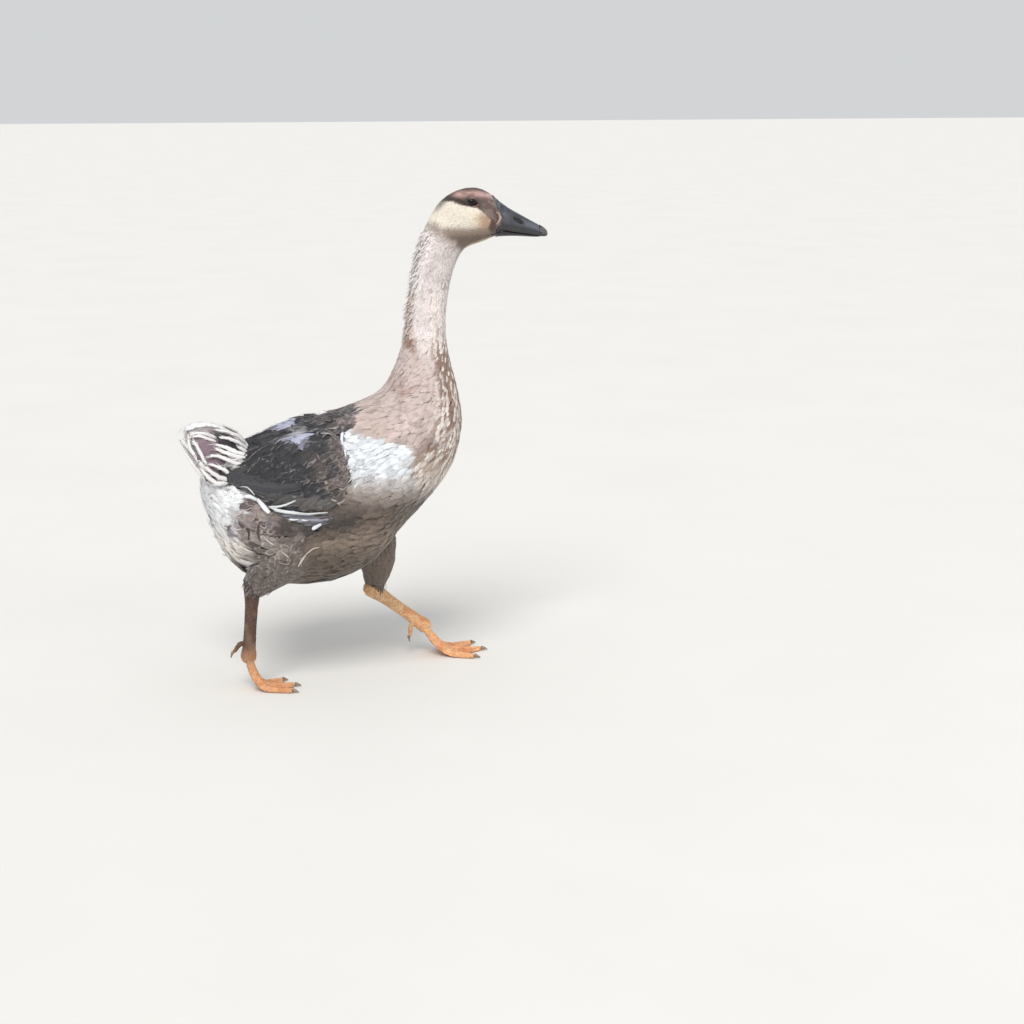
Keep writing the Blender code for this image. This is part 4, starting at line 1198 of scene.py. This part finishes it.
# the wing's white line, the white quill at its rear and the other pale edges: x and z along each, half width
# and the heights of root and tip
PALE_EDGES = (
    (((-102, 265), (-114, 267.5), (-128, 268), (-142, 269), (-157, 277)), 2.7, 4.4, 5.0),
    (((-78, 265.5), (-92, 266), (-108, 266)), 1.4, 4.0, 4.6),
    (((-122, 285.5), (-132, 280.5), (-143, 277), (-156, 276)), 1.7, 4.6, 5.4),
    (((-171, 286), (-167, 280), (-162, 273), (-156, 266)), 3.9, 4.8, 6.0),
    (((-87, 249.5), (-94, 246), (-101, 242.5)), 3.0, 3.5, 5.4),
    (((-118, 257), (-124, 256.5), (-131, 257.5)), 1.5, 3.4, 4.4),
    (((-105, 255), (-109, 255), (-114, 256.5)), 1.3, 3.4, 4.4),
    (((-170, 283), (-176, 286), (-182, 288), (-189, 287)), 3.4, 4.4, 5.0),
    (((-192, 301), (-185, 302), (-179, 297), (-174, 291)), 0.8, 4.6, 5.0),
)
SILVER = ((104, 103, 112), (150, 150, 164), (120, 119, 130), (158, 159, 172), (100, 98, 104))
wing_edge = lambda x, rise: (x, along_edge(WING_EDGE, x) + rise)


def primary(k):
    """A quill of the wing's tip, which crosses over the root of the tail."""
    x, z = -224 + 5.5 * k, 312 - 1.2 * k + 1.5 * (k % 2)
    path = wing_edge(x + 78, 20 + 2 * k), wing_edge(x + 40, 13 + 1.2 * k), (x, z)
    return path, 8.5, 1.0 + 0.5 * k, 2.2 + 0.45 * k


def secondary(k):
    """A quill whose silver web shows under the wing's white line."""
    path = (-62, 269 - 4.2 * k), (-92, 265 - 3.8 * k), (-152 + 10 * k, 266 - 3.6 * k)
    return path, 3.5, -2.0, 0.8 + 0.7 * k


def covert(k):
    """A greater covert along the wing's lower edge."""
    x = -206 + 11.0 * k
    long = min(46, -44 - x)
    path = wing_edge(x + long, 24), wing_edge(x + long * 0.5, 14), wing_edge(x, 2.5 + 4 * math.sin(2.1 * k))
    return path, 7.0, -2.5, 3.4


for side_name, sign in SIDES:
    coat = Coat(f"quills_wing_{side_name}", "plumage_dark", FLIGHT_LOOK, 0)
    rows = [primary(k) for k in range(7)]
    quill(coat, rows, sign, rgb(60, 60, 64), rgb(104, 104, 110), 310 + sign, blunt=0.75)
    rows = [secondary(k) for k in range(len(SILVER))]
    tone = np.array([rgb(*colour) for colour in SILVER])
    quill(coat, rows, sign, tone, rgb(186, 187, 200), 320 + sign, blunt=0.8)
    rows = [covert(k) for k in range(12)]
    tone = blend(SLATE, rgb(96, 92, 90), np.linspace(0, 1, 12))
    quill(coat, rows, sign, tone, rgb(142, 136, 137), 330 + sign, blunt=0.66, loose=12)
    quill(coat, PALE_EDGES, sign, rgb(238, 241, 244), WHITE, 340 + sign, blunt=0.7, stem=0.6, loose=14)
    if sign < 0:
        rows = [(path, half_width, 0.8, 2.6) for path, half_width, _ in CURLS]
        tone = np.array([rgb(*colour) for _, _, colour in CURLS])
        quill(coat, rows, sign, tone, tone * 1.1, 350, blunt=0.45, stem=0.3, loose=12,
              stations=(0, 0.12, 0.25, 0.4, 0.55, 0.7, 0.82, 0.93, 1))
    coat.build()


def tail_point(across, along):
    """A point of the tail's fan: across from -1 to 1, along from its root to its tip."""
    root = np.stack([-174 - MIDDLE_X + 0 * across, 22 * across, 350 - 20 * across ** 2], -1)
    tip = np.stack([-254 - MIDDLE_X + 24 * across ** 2, 62 * across, 372 - 68 * across ** 2], -1)
    place = root + (tip - root) * along[..., None]
    place[..., 2] += 17 * 4 * along * (1 - along)
    return place * MM


def fan(coat, count, spread, start, reach, half_width, drop, colours, seed, camber, loose):
    """Feathers side by side over the tail's fan, between shares start and reach of its length. half_width
    and drop, how far they lie under the fan's surface, are in mm."""
    rng = np.random.default_rng(seed)
    u = np.array(LONG[0])
    across = np.linspace(-spread, spread, count) + rng.normal(0, 0.008, count)
    along = start + (reach * (0.97 + 0.05 * rng.random(count)) - start)[:, None] * u[None]
    wide = np.broadcast_to(across[:, None], along.shape) * (0.97 + 0.03 * u[None])
    spine = tail_point(wide, along)
    normal = unit(np.cross(tail_point(wide + 0.01, along) - tail_point(wide - 0.01, along),
                           tail_point(wide, along - 0.01) - tail_point(wide, along + 0.01)))
    normal *= np.sign(normal[..., 2:])
    spine += normal * ((-drop - 1.6 * np.abs(across) ** 2)[:, None, None] * MM)
    width = (half_width * MM * outline(u, 0.78, 0.6))[None, :, None]
    width = width * (0.9 + 0.2 * rng.random((count, 1, 1))) * (1 - 0.08 * rng.random((count, len(u), 2)))
    body = (np.full(count, 0.7 * MM), np.full(count, camber), LONG[1], rng.normal(0, 0.06, count))
    where = np.stack([0.5 + 0.47 * across, np.full(count, start * 0.8 + 0.1)], 1), rng.random(count)
    tint, rim = (np.broadcast_to(colour, (count, 3)) for colour in colours)
    fringe = (rng, loose, np.full(count, 0.010), 0.35, 0.4, 0.05)
    coat.lay((spine, normal, width, u), body, fringe, where, (tint, rim), (rim, rim))


coat = Coat("quills_tail", "plumage_white", FLIGHT_LOOK, 0)
middle = hill(np.linspace(-0.97, 0.97, 18), 0, 0.3)
under, over = ([blend(rgb(*tone), light, middle) for tone, light in zip(tones, (rgb(206, 198, 196), WHITE))]
               for tones in (((122, 102, 112), (160, 140, 149)), ((52, 46, 50), (74, 66, 72))))
fan(coat, 18, 0.97, 0.0, 0.97, 9.0, 2.4, under, 400, 0.15, 10)
fan(coat, 18, 0.97, 0.0, 0.50, 8.0, 1.2, over, 403, 0.15, 8)
fan(coat, 16, 0.97, 0.05, 0.80, 7.5, 5.2, (rgb(232, 228, 228), WHITE), 404, -0.2, 14)
fan(coat, 5, 0.16, 0.0, 1.0, 5.0, -1.0, (rgb(244, 240, 240), WHITE), 401, 0.4, 14)
TAIL_TREE = find_tree(*node_arrays("tail")[:2])
# white feathers down each side of the tail, from root to tip, with half widths in mm
STRIPS = (
    (((-180, 354), (-184, 360), (-192, 369), (-203, 375), (-215, 378), (-229, 379)), 2.8),
    (((-181, 351), (-186, 356), (-193, 361), (-202, 365), (-211, 368), (-223, 369)), 2.8),
    (((-182, 347), (-187, 350), (-194, 355), (-203, 360), (-212, 363), (-223, 366)), 2.8),
    (((-182, 341), (-188, 343), (-196, 346), (-206, 352), (-216, 356), (-227, 359)), 3.9),
    (((-184, 338), (-191, 339), (-200, 342), (-210, 346), (-219, 350), (-227, 354)), 3.5),
    (((-190, 330), (-200, 332), (-209, 337), (-218, 342), (-227, 344), (-234, 342)), 3.0),
    (((-201, 312), (-206, 317), (-213, 323), (-221, 327), (-229, 331), (-236, 332)), 2.4),
    (((-201, 310), (-211, 309), (-221, 313), (-230, 320), (-236, 325), (-242, 330)), 3.3),
    (((-203, 307), (-214, 304), (-224, 304), (-234, 311), (-241, 320), (-247, 329)), 3.4),
    (((-209, 295), (-217, 293), (-224, 292), (-232, 294), (-237, 298), (-241, 302)), 1.9),
    (((-223, 298), (-230, 302), (-238, 310), (-248, 323), (-258, 338), (-266, 354)), 3.1),
    (((-234, 323), (-241, 328), (-249, 339), (-257, 352), (-260, 362), (-261, 369)), 2.9),
    (((-237, 332), (-242, 340), (-245, 349), (-249, 357), (-252, 363), (-255, 367)), 2.5),
    (((-222, 367), (-230, 372), (-239, 375), (-248, 376), (-256, 375), (-260, 372)), 2.8),
    (((-223, 363), (-230, 366), (-238, 369), (-245, 372), (-251, 372), (-257, 370)), 2.2),
    (((-211, 288), (-218, 287), (-226, 287), (-232, 287), (-236, 286), (-236, 283)), 3.0),
    (((-205, 283), (-214, 283), (-223, 282), (-230, 280), (-235, 277), (-236, 273)), 4.0),
)
STRIP_AT = (0, 0.05, 0.16, 0.4, 0.66, 0.87, 1)
STRIP_WIDTH = np.array((0.4, 0.85, 1.08, 1.0, 0.82, 0.56, 0))


def seen_on_tail(px, pz):
    """How far along the camera's line through a place 60 mm right of the middle the tail or rump lies, the
    line's direction and the way the surface faces there."""
    place = np.array((px, -60 * MM, pz))
    way = unit(place - CAMERA_AT)
    hits = [tree.ray_cast(Vector(CAMERA_AT), Vector(way)) for tree in (TAIL_TREE, OUTER_TREE)]
    hits = [(far, facing) for hit, facing, _, far in hits if hit is not None]
    if hits:
        far, facing = min(hits, key=lambda h: h[0])
    else:
        hit, facing, _, _ = TAIL_TREE.find_nearest(Vector(place + way * 0.03))
        far = (hit.y - CAMERA_AT[1]) / way[1]
    return far, way, np.array(facing)


def strip(path, half_width, sign, u, rng):
    """A side feather's spine, normals and half widths, where the camera sees it on the tail, or mirrored."""
    x, z = (np.interp(u, np.linspace(0, 1, len(path)), column) * MM for column in zip(*path))
    far, way, facing = (np.array(q) for q in zip(*map(seen_on_tail, x, z)))
    far[1:-1] = np.median([far[:-2], far[1:-1], far[2:]], axis=0)
    far[-1] = min(far[-1], far[-2] + 4 * MM)
    for _ in range(2):
        far[1:-1] = (far[:-2] + far[1:-1] * 2 + far[2:]) / 4
    facing = unit(facing * 0.6 + (0, -0.8, 0.1))
    spine = CAMERA_AT + way * far[:, None] + facing * ((1.2 + 1.2 * u) * MM)[:, None]
    width = (1.12 * half_width * MM * STRIP_WIDTH)[:, None] * (1 - 0.16 * rng.random((len(u), 2)))
    return spine * (1, -sign, 1), facing * (1, -sign, 1), width


for sign in (-1, 1):
    rng = np.random.default_rng(410 + sign)
    n, u = len(STRIPS), np.array(STRIP_AT)
    spine, normal, width = (np.array(q) for q in zip(*(strip(*row, sign, u, rng) for row in STRIPS)))
    tint = rgb(243, 240, 239) * (0.94 + 0.08 * rng.random((n, 1)))
    place = np.stack([0.5 + 0.45 * (spine[:, 0, 1] / 0.07), (spine[:, 0, 0] + 0.25) / 0.09], 1)
    where = place, rng.random(n)
    body = (np.full(n, 0.5 * MM), np.full(n, 0.35), LONG[1], rng.normal(0, 0.1, n))
    fringe = (rng, 20, np.full(n, 0.009), 0.15, 0.3, 0.06)
    coat.lay((spine, normal, width, u), body, fringe, where, (tint, tint))
tail_piece = coat.build()
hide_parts("tail")


# ---------------------------------------------------------------- bill

def flange(low, high):
    """The front of the head under the bill's base, as rings between two heights."""
    sides, power = 64, 2 / 2.1
    turn = np.arange(sides) * math.tau / sides
    c, s = np.cos(turn), np.sin(turn)
    rings = []
    for i in range(214, 231):           # the lines of the head's front
        axis, share = LINE_AXIS[i] / LINE_LENGTH[i], LINES[i, 5]
        centre = LINE_BACK[i] + LINE_AXIS[i] * share
        w = np.sign(c) * np.abs(c) ** power * (LINES[i, 4] + 0.0003)
        h = np.sign(s) * np.abs(s) ** power * np.where(s > 0, share, 1 - share) * LINE_LENGTH[i]
        rings.append(np.stack([centre[0] - axis[0] * h, w, np.clip(centre[1] - axis[1] * h, low, high)], 1))
    n, k = len(rings), np.arange(sides)
    after, last = (k + 1) % sides, (n - 1) * sides
    verts = np.concatenate(rings + [rings[0].mean(0, keepdims=True), rings[-1].mean(0, keepdims=True)])
    sheet = ring_quads(n, sides)[:, (0, 1, 2, 0, 2, 3)].reshape(-1, 3)
    front = np.stack([0 * k + n * sides, after, k], 1)
    rear = np.stack([0 * k + n * sides + 1, last + k, last + after], 1)
    return verts, np.concatenate([sheet, front, rear])


def bill_colour(p):
    x, y, z = (p / MM).T
    at = lambda **limits: steps_of({"x": x, "z": z, "side": np.abs(y)}, **limits)
    # painted highlight along the middle of the bill's side
    lit = hill(z, np.interp(x, (186, 215, 250), (664, 657, 641)), 7.5) * spots(p, 0.009, 61, 0.15, 0.6)
    # painted highlights: blue-grey glints in a mottle at the bill's base
    base_glints = spots(p * (1, 1, 0.6), 0.0045, 62, 0.48, 0.66)
    gape = z - np.interp(x, (183, 205, 232, 252), (648.5, 647, 641.5, 635))
    tint = np.tile(rgb(49, 51, 58), (len(p), 1))
    for colour, share in (
            ((95, 99, 109), at(side=(3, 10)) * lit * 0.85),
            ((50, 51, 56), step(z + 0.28 * (x - 200), 655, 664) * 0.6),
            ((136, 142, 154), at(x=(204, 186), z=(658, 668), side=(2, 6)) * base_glints * 0.9),
            ((40, 40, 43), at(x=(192, 186), z=(660, 672)) * 0.8),
            # painted shade along the bill's lower side, below the gape's line
            ((34, 34, 36), step(gape, 2.0, -1.5) * 0.9),
            ((30, 30, 33), step(np.abs(x - 249.4), 1.6, 0.7) * at(z=(630, 634)) * 0.8),
            ((96, 90, 87), at(x=(250.5, 254.5), z=(630, 634)) * (0.5 + 0.4 * wave(p, 0.003, 63))),
            ((54, 52, 54), at(x=(196, 188)) * step(np.abs(z - 652), 16, 8) * 0.6)):
        tint = blend(tint, rgb(*colour), share)
    return tint


for part, low, high in (("upper", 0.6368, 0.8), ("lower", 0.5, 0.6352)):
    v, t, _ = node_arrays(f"bill_{part}")
    fv, ft = flange(low, high)
    form = remeshed(np.concatenate([v, fv]), np.concatenate([t, ft + len(v)]), BILL_VOXEL, (10,))
    normal = form.normals(3)
    x, y, z = (form.v / MM).T
    at = lambda **limits: steps_of({"x": x, "z": z, "side": np.abs(y)}, **limits)
    base = along_edge(BILL_BASE, z)
    push = 0.35 * hill(x - base, 2.0, 0.9) - 2.3 * step(x - base, 1.0, -0.2)
    hole = np.full(len(x), 9.0)
    if part == "upper":
        # nostril, edge over the gape, nail at the tip, folds at the base and comb of the gape
        along = ((x - 217.5) * 0.90 + (z - 651.8) * -0.43) / 10.2
        cross = ((x - 217.5) * 0.43 + (z - 651.8) * 0.90) / 3.3
        hole = np.sqrt(along ** 2 + cross ** 2) + 0.15 * along * cross
        push += (0.35 * hill(hole, 1.2, 0.22) - 2.4 * step(hole, 1.0, 0.55)) * at(side=(3, 5))
        band = z - np.interp(x, (183, 205, 232, 252, 262), (645, 643, 638, 632, 629))
        push += (0.35 * step(band, 1, -1) - 0.3 * hill(band, 0, 0.9)) * at(x=(186, 192))
        push += 0.55 * at(x=(249.5, 251.5)) - 0.5 * hill(x, 249.4, 0.7) * at(z=(630, 632))
        push += 0.22 * np.sin(x * 1.1 + 0.6 * np.sin(z * 0.5)) * at(x=(202, 190, 183, 187))
        gape = z - np.interp(x, (183, 232, 262), (636, 633, 628))
        push += 0.30 * np.sin(x * 2.6) * step(gape, 1.2, 0.2) * at(x=(190, 196, 250, 244))
    form.v = form.v + normal * (push * MM)[:, None]
    # the lower bill gets a darker copy of the upper's colours: painted shade under the upper bill
    tint = bill_colour(form.v) * (1.0 if part == "upper" else 0.55)
    # painted shade inside the nostril's hollow
    tint = blend(tint, rgb(16, 16, 18), step(hole, 1.04, 0.8) * at(side=(3, 5)))
    piece = make_object(f"bill_{part}_horn", form.v, [form.t], {"tint": tint})
    dress(piece, BILL_LOOK, "bill_slate", f"bill_{part}")


# ---------------------------------------------------------------- eyes

for side_name, sign in SIDES:
    rings, sides = 40, 64
    polar, turn = np.divmod(np.arange((rings + 1) * sides), sides)
    polar, turn = math.pi * polar / rings, math.tau * turn / sides
    bulge = sign * (1 + 0.035 * hill(polar, 0, 0.55))
    way = np.stack([np.sin(polar) * np.cos(turn), np.cos(polar) * bulge, np.sin(polar) * np.sin(turn)], 1)
    verts = EYE * (1, sign, 1) + way * (EYE_RADIUS, EYE_BULGE, EYE_RADIUS) * 0.995
    out = polar * EYE_RADIUS / MM       # from the pupil's middle, in mm
    iris = blend(rgb(38, 32, 19), rgb(20, 17, 12), 0.5 + 0.5 * np.sin(turn * 23 + 3 * np.sin(turn * 7)))
    tint = blend(blend(rgb(6, 6, 7), iris, step(out, 2.7, 3.1)), rgb(20, 16, 13), step(out, 5.0, 5.8))
    quads = ring_quads(rings + 1, sides)[:, ::sign]
    ball = make_object(f"eyeball_{side_name}", verts, [quads], {"tint": tint})
    dress(ball, EYE_LOOK, "eye_dark", f"eye_{side_name}")


# ---------------------------------------------------------------- legs

# the right leg is painted darker, most of all its shank: painted shade
for (side_name, sign), shaded_leg in zip(SIDES, (0.0, 1.0)):
    nodes = [f"{part}_{side_name}" for part in ("shank", "foot", "hind_toe")]
    leg = remeshed(*node_arrays(*nodes)[:2], LEG_VOXEL, (8,))
    normal = leg.normals(2)
    near, second = cells(leg.v * (1, 1, 0.8), 0.0029, 71)
    z = leg.v[:, 2] / MM
    seam = step(second - near, 0.30, 0.05)
    web = step(z, 46, 30) * step(normal[:, 2], 0.5, 0.8)
    push = 0.22 * (1 - near) - 0.42 * seam + 0.25 * np.sin(wave(leg.v, 0.006, 72) * 14) * web
    leg.v = leg.v + normal * (push * step(z, 0.8, 3.0) * MM)[:, None]
    leg.v[leg.v[:, 2] < 0.0005, 2] = 0  # the sole lies flat on the ground
    on_foot = step(z, 74, 24)
    tint = np.tile(blend(rgb(246, 196, 144), rgb(72, 52, 41), shaded_leg), (len(z), 1))
    for colour, share in (
            ((255, 188, 134), on_foot * (1 - 0.15 * shaded_leg)),
            ((214, 124, 66), spots(leg.v, 0.012, 73, 0.52, 0.8) * 0.5 * (1 - shaded_leg * (1 - on_foot))),
            ((236, 200, 160), spots(leg.v, 0.016, 74, 0.55, 0.85) * 0.5 * (1 - 0.7 * shaded_leg)),
            ((132, 92, 70), seam * 0.4),
            ((150, 104, 74), step(z, 3, 0.4) * 0.6)):
        tint = blend(tint, rgb(*colour), share)
    dress(make_object(f"leg_{side_name}", leg.v, [leg.t], {"tint": tint}), LEG_LOOK, "leg_orange", *nodes)
    for toe in ("inner", "middle", "outer", "hind"):
        claw = NODES[f"claw_{toe}_{side_name}"].data.materials
        claw.clear()
        claw.append(CLAW_LOOK)


# ---------------------------------------------------------------- floor, light and camera

bpy.ops.mesh.primitive_plane_add(size=60, location=(0, 0, -0.0004))
floor = bpy.context.object
floor.name = "floor"
look = Look("pale_floor", 0.8, specular=0.2)
ground = look.mix(look.noise(3.0, 4), rgb(222, 220, 216), rgb(229, 227, 223))
floor.data.materials.append(look.finish(ground))


def lamp(name, kind, place, aim, power, colour):
    """A lamp at a place, turned to its aim."""
    data = bpy.data.lights.new(name, kind)
    data.energy, data.color = power, colour
    made = bpy.data.objects.new(name, data)
    made.location = place
    made.rotation_euler = (Vector(aim) - Vector(place)).to_track_quat("-Z", "Y").to_euler()
    bpy.context.scene.collection.objects.link(made)
    return data


sun = lamp("key", "SUN", (0, 0, 0), (0.36, 0.90, -1.12), 2.3, (1, 0.985, 0.96))
sun.angle = math.radians(28)
fill = lamp("fill", "AREA", (2.2, -2.6, 1.2), (0, 0, 0.35), 12, (0.97, 0.98, 1))
fill.shape, fill.size = "DISK", 2.4
world = bpy.data.worlds.new("studio")
world.use_nodes = True
sky = world.node_tree.nodes["Background"].inputs
sky["Color"].default_value, sky["Strength"].default_value = (0.86, 0.88, 0.90, 1), 0.75
bpy.context.scene.world = world
bpy.context.scene.view_settings.view_transform = "Standard"

camera = bpy.data.objects.new("camera", bpy.data.cameras.new("camera"))
camera.location = tuple(CAMERA_AT)
camera.rotation_euler = (math.radians(90 - 13.1), 0, math.radians(-14))
camera.data.lens, camera.data.sensor_width = 66.8, 36
bpy.context.scene.collection.objects.link(camera)
bpy.context.scene.camera = camera
